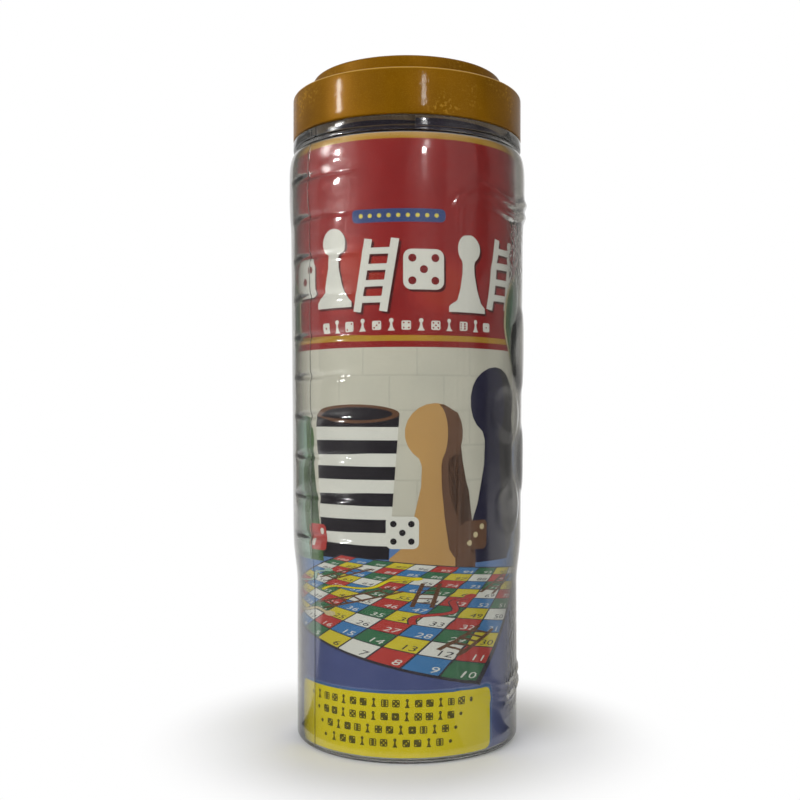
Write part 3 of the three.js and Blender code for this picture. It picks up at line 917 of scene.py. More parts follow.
class Print:
    """Flat printed shapes on the label: x runs round the label from the front, y is height."""

    cut = 2.4
    ply = 0.012
    creases = (60.0, 90.0)
    pawn_side = ((0.27, 0), (0.27, 0.07), (0.2, 0.13), (0.13, 0.3), (0.085, 0.5), (0.08, 0.62),
                 *arc(0, 0.82, 0.18, -58, 90, 9))

    def __init__(self, wrap: Callable[[float, float, float], Vector]) -> None:
        """Start an empty print.

        Args:
            wrap: Gives a point on the label for x, height and distance off the paper.
        """
        self.wrap = wrap
        self.bm = bmesh.new()
        self.bm.loops.layers.float_color.new(INK_LAYER)

    def stamp(self, shape: Mesh, ink: Ink, layer: float, place: Place | None = None) -> None:
        """Lay a flat shape on the label in one ink, cut so finely that no print pierces another.

        Args:
            shape: The flat shape, freed here.
            ink: Its ink.
            layer: How many plies it lies above the paper.
            place: Moves a point of the shape on the flat label.
        """
        bmesh.ops.triangulate(shape, faces=shape.faces)
        if place:
            for vert in shape.verts:
                vert.co.x, vert.co.y = place(vert.co.x, vert.co.y)
        across = [vert.co.x / self.cut for vert in shape.verts]
        strips = range(math.ceil(min(across)), math.floor(max(across)) + 1)
        planes = [((k * self.cut, 0, 0), (1, 0, 0)) for k in strips]
        for point, normal in (*planes, *(((0, z, 0), (0, 1, 0)) for z in self.creases)):
            bmesh.ops.bisect_plane(shape, geom=[*shape.verts, *shape.edges, *shape.faces], dist=1e-5,
                                   plane_co=point, plane_no=normal)
        for face in shape.faces:
            if face.normal.z < 0:
                face.normal_flip()
        for vert in shape.verts:
            strip = math.floor(vert.co.x / self.cut)
            ends = [self.wrap(edge * self.cut, vert.co.y, layer * self.ply) for edge in (strip, strip + 1)]
            vert.co = ends[0].lerp(ends[1], vert.co.x / self.cut - strip)
        inks = shape.loops.layers.float_color.new(INK_LAYER)
        for face in shape.faces:
            for loop in face.loops:
                loop[inks] = (*ink.value, 1)
        mesh = bpy.data.meshes.new("stamp")
        shape.to_mesh(mesh)
        shape.free()
        self.bm.from_mesh(mesh)
        bpy.data.meshes.remove(mesh)

    def block(self, low: Point, high: Point, ink: Ink, layer: float, corner: float = 0,
              place: Place | None = None) -> None:
        """Print a rectangle.

        Args:
            low: Its lower left corner.
            high: Its upper right corner.
            ink: Its ink.
            layer: Plies above the paper.
            corner: Radius of its corners.
            place: Moves its points on the flat label.
        """
        shape = bmesh.new()
        bmesh.ops.create_grid(shape, x_segments=1, y_segments=1, size=0.5)
        bmesh.ops.scale(shape, vec=(high[0] - low[0], high[1] - low[1], 1), verts=shape.verts)
        if corner:
            bmesh.ops.bevel(shape, geom=shape.verts[:], offset=corner, affect="VERTICES", segments=6,
                            profile=0.5, material=-1)
        bmesh.ops.translate(shape, vec=((low[0] + high[0]) / 2, (low[1] + high[1]) / 2, 0), verts=shape.verts)
        self.stamp(shape, ink, layer, place)

    def disc(self, middle: Point, radii: Point, ink: Ink, layer: float, place: Place | None = None) -> None:
        """Print an ellipse.

        Args:
            middle: Its middle.
            radii: Its half width and half height.
            ink: Its ink.
            layer: Plies above the paper.
            place: Moves its points on the flat label.
        """
        shape = bmesh.new()
        segments = 40 if max(radii) > 4 else 14
        bmesh.ops.create_circle(shape, cap_ends=True, segments=segments, radius=1)
        bmesh.ops.scale(shape, vec=(*radii, 1), verts=shape.verts)
        bmesh.ops.translate(shape, vec=(*middle, 0), verts=shape.verts)
        self.stamp(shape, ink, layer, place)

    def outline(self, points: Sequence[Point], ink: Ink, layer: float, place: Place | None = None) -> None:
        """Print the area inside a closed line.

        Args:
            points: The line's corners.
            ink: Its ink.
            layer: Plies above the paper.
            place: Moves its points on the flat label.
        """
        shape = bmesh.new()
        shape.faces.new([shape.verts.new((x, y, 0)) for x, y in points])
        self.stamp(shape, ink, layer, place)

    def band(self, points: Sequence[Point], width: float, ink: Ink, layer: float,
             place: Place | None = None) -> None:
        """Print a line of even width through some points.

        Args:
            points: The line's points.
            width: Its width.
            ink: Its ink.
            layer: Plies above the paper.
            place: Moves its points on the flat label.
        """
        left, right = [], []
        for i, (x, y) in enumerate(points):
            before, after = points[max(0, i - 1)], points[min(len(points) - 1, i + 1)]
            along = Vector((after[0] - before[0], after[1] - before[1])).normalized() * width / 2
            left.append((x - along.y, y + along.x))
            right.append((x + along.y, y - along.x))
        self.outline(left + right[::-1], ink, layer, place)

    def number(self, text: str, corner: Point, height: float, ink: Ink, layer: float, place: Place) -> None:
        """Print a plain number.

        Args:
            text: Its digits.
            corner: Its lower right corner.
            height: Height of the digits.
            ink: Its ink.
            layer: Plies above the paper.
            place: Moves its points on the flat label.
        """
        curve = bpy.data.curves.new("digits", "FONT")
        curve.body = text
        curve.align_x = "RIGHT"
        curve.size = height * 1.4
        curve.resolution_u = 2
        holder = bpy.data.objects.new("digits", curve)
        bpy.context.scene.collection.objects.link(holder)
        flat = holder.evaluated_get(bpy.context.evaluated_depsgraph_get()).to_mesh()
        shape = bmesh.new()
        shape.from_mesh(flat)
        bpy.data.objects.remove(holder)
        bpy.data.curves.remove(curve)
        bmesh.ops.translate(shape, vec=(*corner, 0), verts=shape.verts)
        self.stamp(shape, ink, layer, place)

    def pawn(self, foot: Point, height: float, ink: Ink, layer: float, shade: Ink | None = None) -> None:
        """Print a standing pawn.

        Args:
            foot: Middle of its foot.
            height: Its height.
            ink: Its ink.
            layer: Plies above the paper.
            shade: Ink of a band along its right side.
        """
        right = [(x * height, y * height) for x, y in self.pawn_side]
        left = [(-x, y) for x, y in reversed(right)]
        self.outline([(foot[0] + x, foot[1] + y) for x, y in right + left], ink, layer)
        if shade:
            inner = [(x * 0.45, y) for x, y in reversed(right[:-1])]
            self.outline([(foot[0] + x, foot[1] + y) for x, y in right[:-1] + inner], shade, layer + 1)

    def die_face(self, low: Point, size: float, pips: int, ink: Ink, mark: Ink, layer: float) -> None:
        """Print one face of a die.

        Args:
            low: Its lower left corner.
            size: Its side.
            pips: How many pips it has.
            ink: The face's ink.
            mark: The pips' ink.
            layer: Plies above the paper.
        """
        self.block(low, (low[0] + size, low[1] + size), ink, layer, corner=size * 0.18)
        for i, j in PIPS[pips]:
            middle = (low[0] + size * (0.5 + 0.27 * i), low[1] + size * (0.5 + 0.27 * j))
            self.disc(middle, (size * 0.1, size * 0.1), mark, layer + 1)


def way_and_side(start: Point, end: Point, reach: float) -> tuple[Vector, Vector]:
    """Give the way from one flat point to another, and a step of some reach to its left."""
    way = Vector((end[0] - start[0], end[1] - start[1]))
    return way, Vector((-way.y, way.x)).normalized() * reach


def quad_place(corners: Sequence[Point]) -> Place:
    """Map the unit square on a quadrilateral in perspective.

    Args:
        corners: Where (0, 0), (1, 0), (1, 1) and (0, 1) go.

    Returns:
        A function from a point of the square to the label.
    """
    (x0, y0), (x1, y1), (x2, y2), (x3, y3) = corners
    dx1, dx2, sx = x1 - x2, x3 - x2, x0 - x1 + x2 - x3
    dy1, dy2, sy = y1 - y2, y3 - y2, y0 - y1 + y2 - y3
    base = dx1 * dy2 - dx2 * dy1
    g, h = (sx * dy2 - dx2 * sy) / base, (dx1 * sy - sx * dy1) / base

    def place(s: float, t: float) -> Point:
        """One point of the square on the label."""
        depth = g * s + h * t + 1
        return (((x1 - x0 + g * x1) * s + (x3 - x0 + h * x3) * t + x0) / depth,
                ((y1 - y0 + g * y1) * s + (y3 - y0 + h * y3) * t + y0) / depth)
    return place


@dataclass
class Label:
    """The printed sheet rolled inside the jar, lapped at the back."""

    radius: float = 43.85
    drift: float = 0.75
    mean_radius: float = 43.5
    thickness: float = 0.3
    bottom: float = 2.0
    top: float = 234.1
    flare: float = 0.85
    lap: float = 14.0

    def wrap(self, x: float, z: float, lift: float) -> Vector:
        """Give the point of the rolled sheet for a point of the flat one.

        Args:
            x: Distance round the sheet from the front.
            z: Height.
            lift: Distance off the paper, outwards.

        Returns:
            The point in millimetres.
        """
        angle = x / self.mean_radius
        low, high = Print.creases
        wide = self.flare * clamped((z - low) / (high - low))
        wind = self.drift * (angle + math.pi) / FULL_TURN
        return polar(self.radius - wind + wide + lift, angle, z)

    @property
    def half(self) -> float:
        """Half the sheet's way round, from the front to the back."""
        return math.pi * self.mean_radius

    def build(self) -> None:
        """Make the sheet and its prints and place them."""
        paper = PrintedPaper().material()
        sheet = Print(self.wrap)
        sheet.block((-self.half, self.bottom), (self.half + self.lap, self.top), Ink.PAPER, 0)
        piece = place_piece("label_paper", sheet.bm, [paper], "jar", ["label_sheet"])
        thicken(piece, self.thickness, -1)
        for draw in (Artwork.ground, Artwork.header, Artwork.scene, Artwork.board, Artwork.panel,
                     Artwork.back):
            art = Artwork(self)
            draw(art)
            place_piece(f"label_{draw.__name__}", art.bm, [paper], "jar")


class Artwork(Print):
    """The label's own plain design of dice, pawns, ladders and boards; each drawing becomes one piece."""

    field_bottom = 66.0
    field_top = 154.7
    head_stripe = (157.0, 159.1)
    head_top = 231.9
    tile = (20.0, 13.0)
    sign_pitch = 17.6
    cup_bands = 11
    cup_height = 54.0
    board_corners = ((-86, 54), (24.7, 28.6), (57, 69), (-29, 77))
    ladders = (((0.87, 0.14), (0.93, 0.34)), ((0.34, 0.26), (0.5, 0.62)), ((0.66, 0.46), (0.58, 0.74)),
               ((0.16, 0.55), (0.24, 0.86)), ((0.84, 0.66), (0.9, 0.9)))
    snakes = ((Ink.CREAM, (0.12, 0.1), (0.42, 0.22)), (Ink.PANEL, (0.24, 0.42), (0.5, 0.78)),
              (Ink.CELL_RED, (0.7, 0.3), (0.78, 0.62)), (Ink.MINT, (0.05, 0.3), (0.1, 0.7)))
    panel_rows = ((-41, 15), (-37, 13), (-35, 12), (-33, 11))
    panel_pitch = 4.2

    def __init__(self, sheet: Label) -> None:
        """Start an empty drawing for a sheet."""
        super().__init__(sheet.wrap)
        self.sheet = sheet

    def ground(self) -> None:
        """Print the plain bands that run right round."""
        sheet = self.sheet
        left, right = -sheet.half + 0.5, sheet.half + sheet.lap - 0.5
        heights = (sheet.bottom + 0.2, self.field_bottom, self.field_top, *self.head_stripe, self.head_top,
                   sheet.top - 0.1)
        inks = (Ink.GROUND, Ink.PALE, Ink.RED, Ink.GOLD, Ink.RED, Ink.GOLD)
        for low, high, ink in zip(heights, heights[1:], inks):
            self.block((left, low), (right, high), ink, 1)

    def header(self) -> None:
        """Print the red head: soft glows, a bare blue strip, a row of large signs and one of small ones."""
        for x, z, wide, high in ((-26, 182, 21, 15), (9, 178, 13, 13)):
            for step, ink in enumerate((Ink.GLOW_EDGE, Ink.GLOW_SOFT, Ink.GLOW_RED)):
                share = 1 - 0.2 * step
                self.disc((x, z), (wide * share, high * share), ink, 1.5 + 0.5 * step)
        self.block((-24, 201), (11, 206), Ink.STRIP_BLUE, 2, corner=2)
        for i in range(9):
            self.disc((-20.5 + 3.5 * i, 203.5), (0.8, 0.8), Ink.STRIP_YELLOW, 3)
        for i in range(6):
            x, z = -50 + self.sign_pitch * i, 168 + 2 * (i % 2)
            self.sign(i, x + 0.9, z - 0.9, Ink.SHADOW, 3)
            self.sign(i, x, z, Ink.WHITE, 5)
        for i in range(13):
            x = -36 + 5.4 * i
            if i % 2:
                self.pawn((x, 160.8), 4.6, Ink.WHITE, 3)
            else:
                self.die_face((x - 1.7, 161.1), 3.4, i // 2 % 6 + 1, Ink.WHITE, Ink.RED, 3)

    def sign(self, index: int, x: float, z: float, ink: Ink, layer: int) -> None:
        """Print one large sign of the head row: a die, a pawn or a ladder in turn.

        Args:
            index: Its number in the row.
            x: Its middle.
            z: Its foot.
            ink: Its ink.
            layer: Plies above the paper.
        """
        if index % 3 == 0:
            self.block((x - 7.5, z + 6), (x + 7.5, z + 21), ink, layer, corner=3)
            if ink is Ink.WHITE:
                for i, j in PIPS[5 if index else 3]:
                    self.disc((x + 4.2 * i, z + 13.5 + 4.2 * j), (1.5, 1.5), Ink.DEEP_RED, layer + 1)
        elif index % 3 == 1:
            self.pawn((x, z), 29 + index % 2, ink, layer)
        else:
            lean, half, height = 2.2, 5, 27
            for side in (x - half, x + half):
                self.band([(side - lean, z), (side + lean, z + height)], 3, ink, layer)
            for step in range(4):
                rise = 4.5 + 6 * step
                shift = lean * (2 * rise / height - 1)
                self.band([(x - half + shift, z + rise), (x + half + shift, z + rise)], 2.4, ink, layer + 0.5)

    def scene(self) -> None:
        """Print the pale field: faint tiles and a group of pawns, a striped cup and dice."""
        wide, high = self.tile
        for row in range(5):
            z = 92 + high * row
            self.block((-self.sheet.half + 1, z), (self.sheet.half, z + 0.7), Ink.PALE_SHADE, 2)
            for i in range(-6, 7):
                x = wide * (i + 0.5 * (row % 2))
                self.block((x, z), (x + 0.6, min(z + high, self.field_top - 0.2)), Ink.PALE_SHADE, 2)
        self.block((-70, 64), (66, 84), Ink.BLUE, 3, corner=6)
        self.cup(-24, 76)
        for x, z, height, ink, shade, layer in (
                (-53, 74, 56, Ink.MINT, Ink.GREEN, 6), (7, 72, 62, Ink.TAN, Ink.BROWN, 9),
                (34, 74, 74, Ink.NAVY, Ink.BLACK, 6), (57, 72, 50, Ink.BLUE, Ink.STRIP_BLUE, 8)):
            self.pawn((x, z), height, ink, layer, shade)
        for x, z, size, pips, ink, mark in (
                (-11, 80, 12, 5, Ink.WHITE, Ink.BLACK), (18, 79, 11, 3, Ink.BROWN, Ink.CREAM),
                (-46, 78, 10, 2, Ink.CELL_RED, Ink.WHITE)):
            self.die_face((x, z), size, pips, ink, mark, 11)

    def cup(self, x: float, z: float) -> None:
        """Print a striped dice cup.

        Args:
            x: Its middle.
            z: Its foot.
        """
        for row in range(self.cup_bands):
            low, high = row / self.cup_bands, (row + 1) / self.cup_bands
            corners = ((-1, low), (1, low), (1, high), (-1, high))
            self.outline([(x + side * (14 + 4 * y), z + self.cup_height * y) for side, y in corners],
                         Ink.WHITE if row % 2 else Ink.BLACK, 6)
        self.disc((x, z + self.cup_height), (18, 3.6), Ink.BROWN, 7)
        self.disc((x, z + self.cup_height), (15.5, 2.6), Ink.BLACK, 8)

    def board(self) -> None:
        """Print the board of a hundred numbered squares in perspective, with ladders and plain snakes."""
        place = quad_place(self.board_corners)
        rim, gap, side = 0.012, 0.003, 0.094
        self.block((-rim, -rim), (1 + rim, 1 + rim), Ink.LINE, 12, place=place)
        for row in range(10):
            for column in range(10):
                ink = CELL_INKS[(9 - column + 2 * row) % 5]
                low = (column / 10 + gap, row / 10 + gap)
                self.block(low, (low[0] + side, low[1] + side), ink, 13, place=place)
                number = 10 * row + (column + 1 if row % 2 == 0 else 10 - column)
                mark = Ink.LINE if ink in (Ink.CELL_WHITE, Ink.CELL_YELLOW) else Ink.CELL_WHITE
                self.number(str(number), (low[0] + 0.088, low[1] + 0.01), 0.036, mark, 14, place)
        for foot, top in self.ladders:
            self.ladder(foot, top, place)
        for ink, start, end in self.snakes:
            self.snake(ink, start, end, place)

    def ladder(self, foot: Point, top: Point, place: Place) -> None:
        """Print a ladder between two places of the board.

        Args:
            foot: Middle of its foot on the board.
            top: Middle of its top.
            place: Moves a point of the board on the flat label.
        """
        way, side = way_and_side(foot, top, 0.032)
        for sign in (-1, 1):
            rail = [(x + sign * side.x, y + sign * side.y) for x, y in (foot, top)]
            self.band(rail, 0.016, Ink.BROWN, 15, place)
        for i in range(1, 6):
            x, y = foot[0] + way.x * i / 6, foot[1] + way.y * i / 6
            self.band([(x - side.x, y - side.y), (x + side.x, y + side.y)], 0.012, Ink.BROWN, 15.5, place)

    def snake(self, ink: Ink, start: Point, end: Point, place: Place) -> None:
        """Print a plain wavy band with a round end between two places of the board.

        Args:
            ink: Its ink.
            start: Its thin end on the board.
            end: Its round end.
            place: Moves a point of the board on the flat label.
        """
        way, side = way_and_side(start, end, 0.035)
        points, steps = [], 24
        for i in range(steps + 1):
            share = i / steps
            swing = math.sin(share * 3 * math.pi) * min(1.0, 4 * (1 - share))
            points.append((start[0] + way.x * share + side.x * swing,
                           start[1] + way.y * share + side.y * swing))
        self.band(points, 0.03, Ink.LINE, 16, place)
        self.band(points, 0.021, ink, 17, place)
        self.disc(points[-1], (0.026, 0.026), ink, 18, place)

    def panel(self) -> None:
        """Print the yellow panel at the bottom with its rows of small dice and pawns."""
        self.block((-56, 2.3), (33.5, 27.6), Ink.GROUND_LIGHT, 2, corner=3.6)
        self.block((-55.5, 2.3), (33, 27.1), Ink.PANEL_EDGE, 3, corner=3.4)
        self.block((-54.5, 2.4), (32, 26.2), Ink.PANEL, 4, corner=2.8)
        for row, (first, count) in enumerate(self.panel_rows):
            z = 21.2 - 4.9 * row
            for i in range(count):
                x = first + self.panel_pitch * i
                if (i + row) % 3:
                    self.die_face((x - 1.4, z), 2.8, (i * 5 + row) % 6 + 1, Ink.PANEL_MARK, Ink.PANEL, 5)
                else:
                    self.pawn((x, z - 0.2), 3.4, Ink.PANEL_MARK, 5)
            for x in (first - 4.4, first + self.panel_pitch * count):
                self.disc((x, z + 1.4), (0.7, 0.7), Ink.PANEL_MARK, 5)

    def back(self) -> None:
        """Print the ovals at the sides, and a plan of a ludo board and rows of dice and pawns at the back."""
        for x in (64, -78):
            for layer, radii, ink in ((19, (24.5, 23), Ink.CREAM), (20, (23.3, 21.8), Ink.GREEN),
                                      (21, (20.5, 19.2), Ink.CELL_GREEN)):
                self.disc((x, 167.5), radii, ink, layer)
            self.pawn((x, 155), 26, Ink.STRIP_YELLOW, 22)
        self.ludo_plan((106, 112), 54)
        self.block((-130, 84), (-82, 142), Ink.WHITE, 4, corner=4)
        for i in range(6):
            corner = (-126 + 14.5 * (i % 3), 117 - 15 * (i // 3))
            self.die_face(corner, 11, i + 1, Ink.CELL_BLUE, Ink.WHITE, 5)
        for i, ink in enumerate(PLAYER_INKS):
            self.pawn((-122 + 11 * i, 86), 13, ink, 5)
        for (left, low), (right, high) in (((-126, 12), (-62, 54)), ((58, 12), (132, 54))):
            self.block((left, low), (right, high), Ink.PANEL_EDGE, 3, corner=4)
            self.block((left + 1, low + 1), (right - 1, high - 1), Ink.PANEL, 4, corner=3.4)
            for i in range(9):
                x = left + 8 + (right - left - 16) * (i % 3) / 2
                self.die_face((x - 4, 17 + 11.5 * (i // 3)), 8, i % 6 + 1, Ink.PANEL_MARK, Ink.PANEL, 5)

    def ludo_plan(self, middle: Point, side: float) -> None:
        """Print a ludo board seen from above.

        Args:
            middle: Its middle.
            side: Its side.
        """
        cell, line = side / 15, 0.15

        def at(column: float, row: float, shift: float = 0) -> Point:
            """The corner of a cell, moved up and right by a shift."""
            return (middle[0] - side / 2 + column * cell + shift, middle[1] - side / 2 + row * cell + shift)

        self.block(at(0, 0, -2), at(15, 15, 2), Ink.LINE, 4, corner=3)
        self.block(at(0, 0, -1.4), at(15, 15, 1.4), Ink.WHITE, 5, corner=2.6)
        for i, j, ink in zip((0, 9, 9, 0), (0, 0, 9, 9), PLAYER_INKS):
            self.block(at(i, j), at(i + 6, j + 6), ink, 6)
            self.disc(at(i + 3, j + 3), (2.3 * cell, 2.3 * cell), Ink.WHITE, 7)
            for a, b in PIPS[4]:
                self.disc(at(i + 3 + 0.9 * a, j + 3 + 0.9 * b), (0.6 * cell, 0.6 * cell), ink, 8)
        lanes = {(7, j): Ink.CELL_RED for j in range(1, 6)}
        lanes |= {(i, 7): Ink.CELL_YELLOW for i in range(1, 6)}
        lanes |= {(7, j): Ink.CELL_GREEN for j in range(9, 14)}
        lanes |= {(i, 7): Ink.CELL_BLUE for i in range(9, 14)}
        for i in range(15):
            for j in range(15):
                if (6 <= i <= 8) != (6 <= j <= 8):
                    self.block(at(i, j), at(i + 1, j + 1), Ink.LINE, 6)
                    self.block(at(i, j, line), at(i + 1, j + 1, -line), lanes.get((i, j), Ink.WHITE), 7)
        ends = [at(6, 6), at(9, 6), at(9, 9), at(6, 9)]
        for k, ink in enumerate(PLAYER_INKS):
            self.outline([ends[k], ends[(k + 1) % 4], at(7.5, 7.5)], ink, 6)


@dataclass
class ClothBoard:
    """The square cloth board, folded once across its middle and rolled."""

    side: float = 500.0
    radius: float = 41.0
    pitch: float = 1.6
    band: float = 1.0
    bottom: float = 4.3
    fold: float = 0.3
    thickness: float = 0.32
    ripple: float = 0.05
    sag: float = 0.8
    droop: float = 0.9
    columns: int = 190
    rows: int = 64
    finish: PrintedCloth = PrintedCloth()

    def build(self) -> None:
        """Make the cloth and place it."""
        bm = bmesh.new()
        bmesh.ops.create_grid(bm, x_segments=self.columns, y_segments=self.rows, size=0.5)
        uv = bm.loops.layers.uv.new(self.finish.uv_map)
        for face in bm.faces:
            for loop in face.loops:
                loop[uv].uv = (loop.vert.co.x + 0.5, loop.vert.co.y + 0.5)
        for vert in bm.verts:
            vert.co = self.rolled(vert.co.x + 0.5, vert.co.y + 0.5)
        cloth = place_piece("board_cloth", bm, [self.finish.material()], "board",
                            ["cloth_board"])
        thicken(cloth, self.thickness, 0)

    def rolled(self, along: float, across: float) -> Vector:
        """Give where a point of the flat cloth lies once folded and rolled.

        Args:
            along: Share of the way along the roll.
            across: Share of the way across the fold.

        Returns:
            The point in millimetres.
        """
        turn = along * self.side / (self.radius - self.pitch - self.band / 2)
        spread = (across - 0.5) * self.side
        bend = self.fold * math.pi / 2
        if abs(spread) < bend:
            offset, height = math.sin(spread / self.fold), self.fold * (1 - math.cos(spread / self.fold))
        else:
            offset, height = math.copysign(1, spread), self.fold + abs(spread) - bend
        ripple = self.ripple * math.sin(9 * turn + 0.05 * height) * min(1.0, height / 20)
        layer = self.radius - self.pitch * turn / FULL_TURN - self.band / 2
        sag = (self.sag * math.sin(2.3 * turn + 1) - self.droop) * height / (self.side / 2)
        return polar(layer - offset * self.fold + ripple, turn, self.bottom + height + sag)


@dataclass
class Counters:
    """The sixteen pawns and the die, each where its node stands."""

    foot: float = 6.0
    height: float = 24.0
    head: float = 4.3
    neck: float = 2.4
    body: tuple[Point, ...] = ((5.1, 3.0), (4.3, 5.4), (3.7, 8.0), (3.2, 10.4), (2.75, 12.8), (2.5, 14.6))
    collar: tuple[Point, ...] = ((3.3, 15.1), (3.4, 15.5), (3.2, 15.9))
    steps: int = 32
    die_edge: float = 1.2
    pip: float = 1.3
    pip_pitch: float = 3.0
    paint: float = 0.02
    die_sides: tuple[tuple[int, Axis], ...] = (
        (1, (0, 0, 1)), (6, (0, 0, -1)), (2, (0, -1, 0)), (5, (0, 1, 0)), (3, (1, 0, 0)), (4, (-1, 0, 0)),
    )
    colours: tuple[tuple[str, Rgb], ...] = (
        ("red", srgb(176, 34, 28)), ("blue", srgb(30, 84, 160)),
        ("green", srgb(28, 122, 58)), ("yellow", srgb(212, 172, 28)),
    )

    def pawn_profile(self) -> list[Point]:
        """Give a pawn's profile from the middle of its foot to the top of its head.

        Returns:
            Points as (radius, height).
        """
        low = -math.degrees(math.acos((self.neck + 0.2) / self.head))
        return [
            (0, 0.3), (self.foot - 1.6, 0.3), (self.foot - 1.2, 0),
            *arc(self.foot - 0.5, 0.5, 0.5, -90, 0, 3), *arc(self.foot - 0.6, 1.5, 0.6, 0, 80, 3),
            *self.body, *self.collar,
            *arc(0, self.height - self.head, self.head, low, 90, 10)[:-1], (0, self.height),
        ]

    def build(self) -> None:
        """Make the pawns and the die and place them."""
        for colour, tone in self.colours:
            material = GlossPlastic(f"{colour}_plastic", tone).material()
            for number in range(1, 5):
                node = f"pawn_{colour}_{number}"
                low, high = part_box(node)
                bm = spun(self.pawn_profile(), self.steps)
                foot = ((low.x + high.x) / 2 / MM, (low.y + high.y) / 2 / MM, low.z / MM)
                bmesh.ops.translate(bm, vec=foot, verts=bm.verts)
                place_piece(f"{node}_look", bm, [material], node, [node])
        self.build_die()

    def build_die(self) -> None:
        """Make the die with painted pips and place it."""
        low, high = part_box("die")
        size = (high.x - low.x) / MM
        bm = bmesh.new()
        bmesh.ops.create_cube(bm, size=size)
        bmesh.ops.bevel(bm, geom=bm.edges[:], offset=self.die_edge, offset_type="OFFSET", affect="EDGES",
                        segments=4, profile=0.5, material=-1)
        for count, normal in self.die_sides:
            turn = Vector(normal).to_track_quat("Z", "Y").to_matrix()
            for i, j in PIPS[count]:
                dot = bmesh.ops.create_circle(bm, cap_ends=True, segments=18, radius=self.pip)["verts"]
                bmesh.ops.translate(bm, vec=(i * self.pip_pitch, j * self.pip_pitch, size / 2 + self.paint),
                                    verts=dot)
                bmesh.ops.rotate(bm, cent=(0, 0, 0), matrix=turn, verts=dot)
                for face in {f for v in dot for f in v.link_faces}:
                    face.material_index = 1
        bmesh.ops.translate(bm, vec=(low + high) / 2 / MM, verts=bm.verts)
        ivory = GlossPlastic("die_plastic", srgb(222, 216, 200), 0.32).material()
        dark = GlossPlastic("pip_paint", srgb(34, 32, 36), 0.4).material()
        place_piece("die_look", bm, [ivory, dark], "die", ["die"])


class Panel(Enum):
    """Lamps: angle from the front, height, distance and sides in metres, watts, and if seen in gloss."""

    KEY = (-46.0, 0.5, 0.95, (0.7, 0.7), 7.4, False)
    FILL = (42.0, 0.24, 1.0, (0.8, 0.8), 3.4, False)
    BACK = (165.0, 0.6, 0.9, (0.7, 0.7), 4.4, False)
    GLINT_LEFT = (-73.0, 0.505, 0.9, (0.085, 0.13), 3.0, True)
    GLINT_RIGHT = (11.5, 0.515, 0.9, (0.05, 0.11), 1.0, True)


class Card(Enum):
    """Grey cards, seen in gloss and through clear plastic.

    Each has its two angles, the tones of its floor and its wall, and the radius where it starts.
    """

    FRONT = (-97.0, 33.0, 0.03, 0.03, 0.056)
    GAP = (33.0, 65.0, 0.3, 0.3, 0.056)
    SIDE = (65.0, 80.0, 0.03, 0.03, 0.056)
    LEFT = (-150.0, -97.0, 0.36, 0.36, 1.2)
    RIGHT = (80.0, 120.0, 0.55, 0.2, 0.07)
    RIM = (120.0, 150.0, 0.62, 0.62, 0.07)


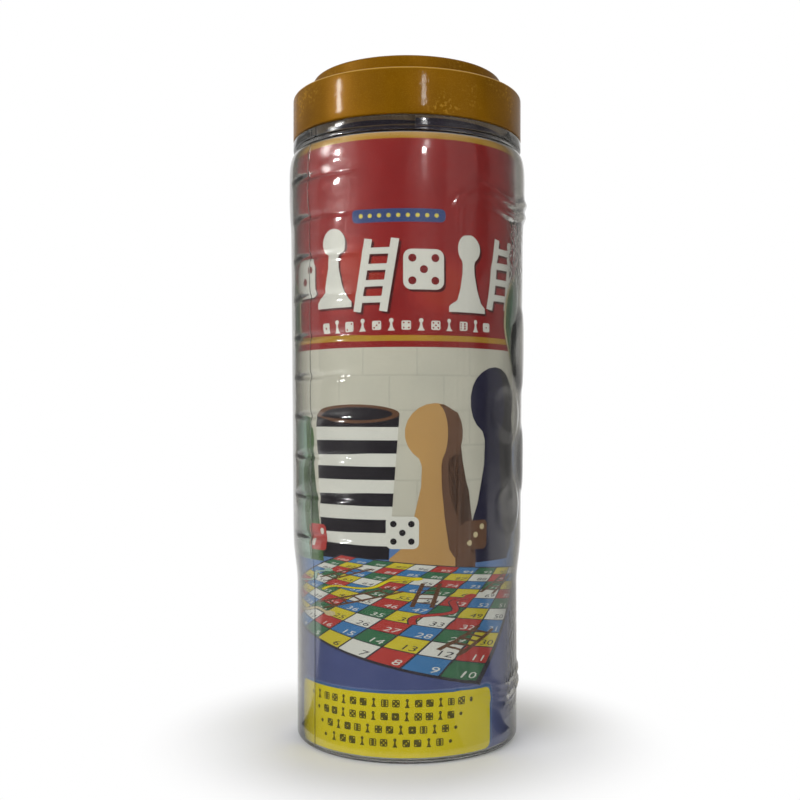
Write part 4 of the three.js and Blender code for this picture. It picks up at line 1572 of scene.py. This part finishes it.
@dataclass
class Studio:
    """Floor, background, lamps, cards and camera."""

    lens: float = 47.45
    sensor: float = 36.0
    distance: float = 0.433
    aside: float = -0.033
    height: float = 0.127
    shift: Point = (-0.0088, 0.0274)
    clip: Point = (0.01, 50)
    ambient: float = 0.3
    aim: Axis = (0, 0, 0.13)
    floor_radius: float = 6.0
    floor_drop: float = 0.0002
    floor_tone: Rgb = (0.9, 0.9, 0.9)
    floor_fade: Point = (0.05, 0.11)
    card_tone: Rgb = (1.0, 0.98, 0.95)
    card_radius: float = 1.4
    card_top: float = 1.6

    def build(self) -> None:
        """Set the stage and the camera."""
        scene = bpy.context.scene
        scene.view_settings.view_transform = "Standard"
        scene.world = self.background()
        self.floor()
        for panel in Panel:
            self.lamp(panel)
        for card in Card:
            self.card(card)
        camera = bpy.data.cameras.new("camera")
        camera.lens = self.lens
        camera.sensor_width = self.sensor
        camera.shift_x, camera.shift_y = self.shift
        camera.clip_start, camera.clip_end = self.clip
        holder = bpy.data.objects.new("camera", camera)
        holder.location = (self.aside, -self.distance, self.height)
        holder.rotation_euler = (math.pi / 2, 0, math.atan2(self.aside, self.distance))
        scene.collection.objects.link(holder)
        scene.camera = holder

    def background(self) -> bpy.types.World:
        """Give a white backdrop for what is seen and a plain level of light.

        Returns:
            The world.
        """
        n = Nodes("studio", world=True)
        first = n.math("LESS_THAN", n.add("LightPath").outputs["Diffuse Depth"], 0.5)
        light, white = [n.add("Background", {"Color": (1, 1, 1), "Strength": s}) for s in (self.ambient, 1.0)]
        return n.blend(n.math("MULTIPLY", n.seen(), first), light, white)

    def floor(self) -> None:
        """Lay a pale floor that fades into the backdrop away from the jar."""
        bm = bmesh.new()
        bmesh.ops.create_circle(bm, cap_ends=True, segments=96, radius=self.floor_radius)
        n = Nodes("floor")
        away = n.vector("LENGTH", n.object_coords()).outputs["Value"]
        far = n.math("MULTIPLY", n.seen(), n.ramp(away, *self.floor_fade, 0, 1))
        pale = n.add("BsdfDiffuse", {"Color": self.floor_tone})
        white = n.add("Emission", {"Color": (1.0, 1.0, 1.0), "Strength": 1.0})
        floor = add_object("floor", bm, [n.blend(far, pale, white)])
        floor.location.z = -self.floor_drop

    def lamp(self, panel: Panel) -> None:
        """Hang one soft lamp that faces the jar.

        Args:
            panel: The lamp.
        """
        angle, height, distance, sides, power, gloss = panel.value
        light = bpy.data.lights.new(panel.name.lower(), "AREA")
        light.shape = "RECTANGLE"
        light.size, light.size_y = sides
        light.energy = power
        holder = bpy.data.objects.new(panel.name.lower(), light)
        holder.location = polar(distance, math.radians(angle), height)
        holder.rotation_euler = (Vector(self.aim) - holder.location).to_track_quat("-Z", "Y").to_euler()
        holder.visible_glossy = gloss
        holder.visible_diffuse = not gloss
        holder.visible_camera = False
        holder.visible_transmission = False
        bpy.context.scene.collection.objects.link(holder)

    def card(self, card: Card) -> None:
        """Stand one grey card round the set.

        Args:
            card: The card.
        """
        start, end, floor_tone, wall_tone, foot = card.value
        name = f"card_{card.name.lower()}"
        bm = bmesh.new()
        side = ((foot, 0.0008), (self.card_radius, 0.004), (self.card_radius, self.card_top))
        ends = [bm.verts.new(polar(r, math.radians(start), z)) for r, z in side]
        edges = [bm.edges.new(pair) for pair in zip(ends, ends[1:])]
        bmesh.ops.spin(bm, geom=[*ends, *edges], cent=(0, 0, 0), axis=(0, 0, 1),
                       angle=math.radians(end - start), steps=24)
        for face in bm.faces:
            face.material_index = int(face.calc_center_median().z > 0.1)
        materials = []
        for tone in (floor_tone, wall_tone):
            n = Nodes(name)
            materials.append(n.close(n.add("Emission", {"Color": self.card_tone, "Strength": tone})))
        holder = add_object(name, bm, materials)
        for way in ("camera", "diffuse", "shadow", "volume_scatter"):
            setattr(holder, f"visible_{way}", False)


def main() -> None:
    """Build every sub-assembly and the studio."""
    logging.basicConfig(level=logging.INFO, format="%(name)s %(message)s")
    for assembly in (Jar(), Cap(), Label(), ClothBoard(), Counters(), Studio()):
        LOG.info("building %s", type(assembly).__name__)
        assembly.build()


if __name__ == "__main__":
    main()
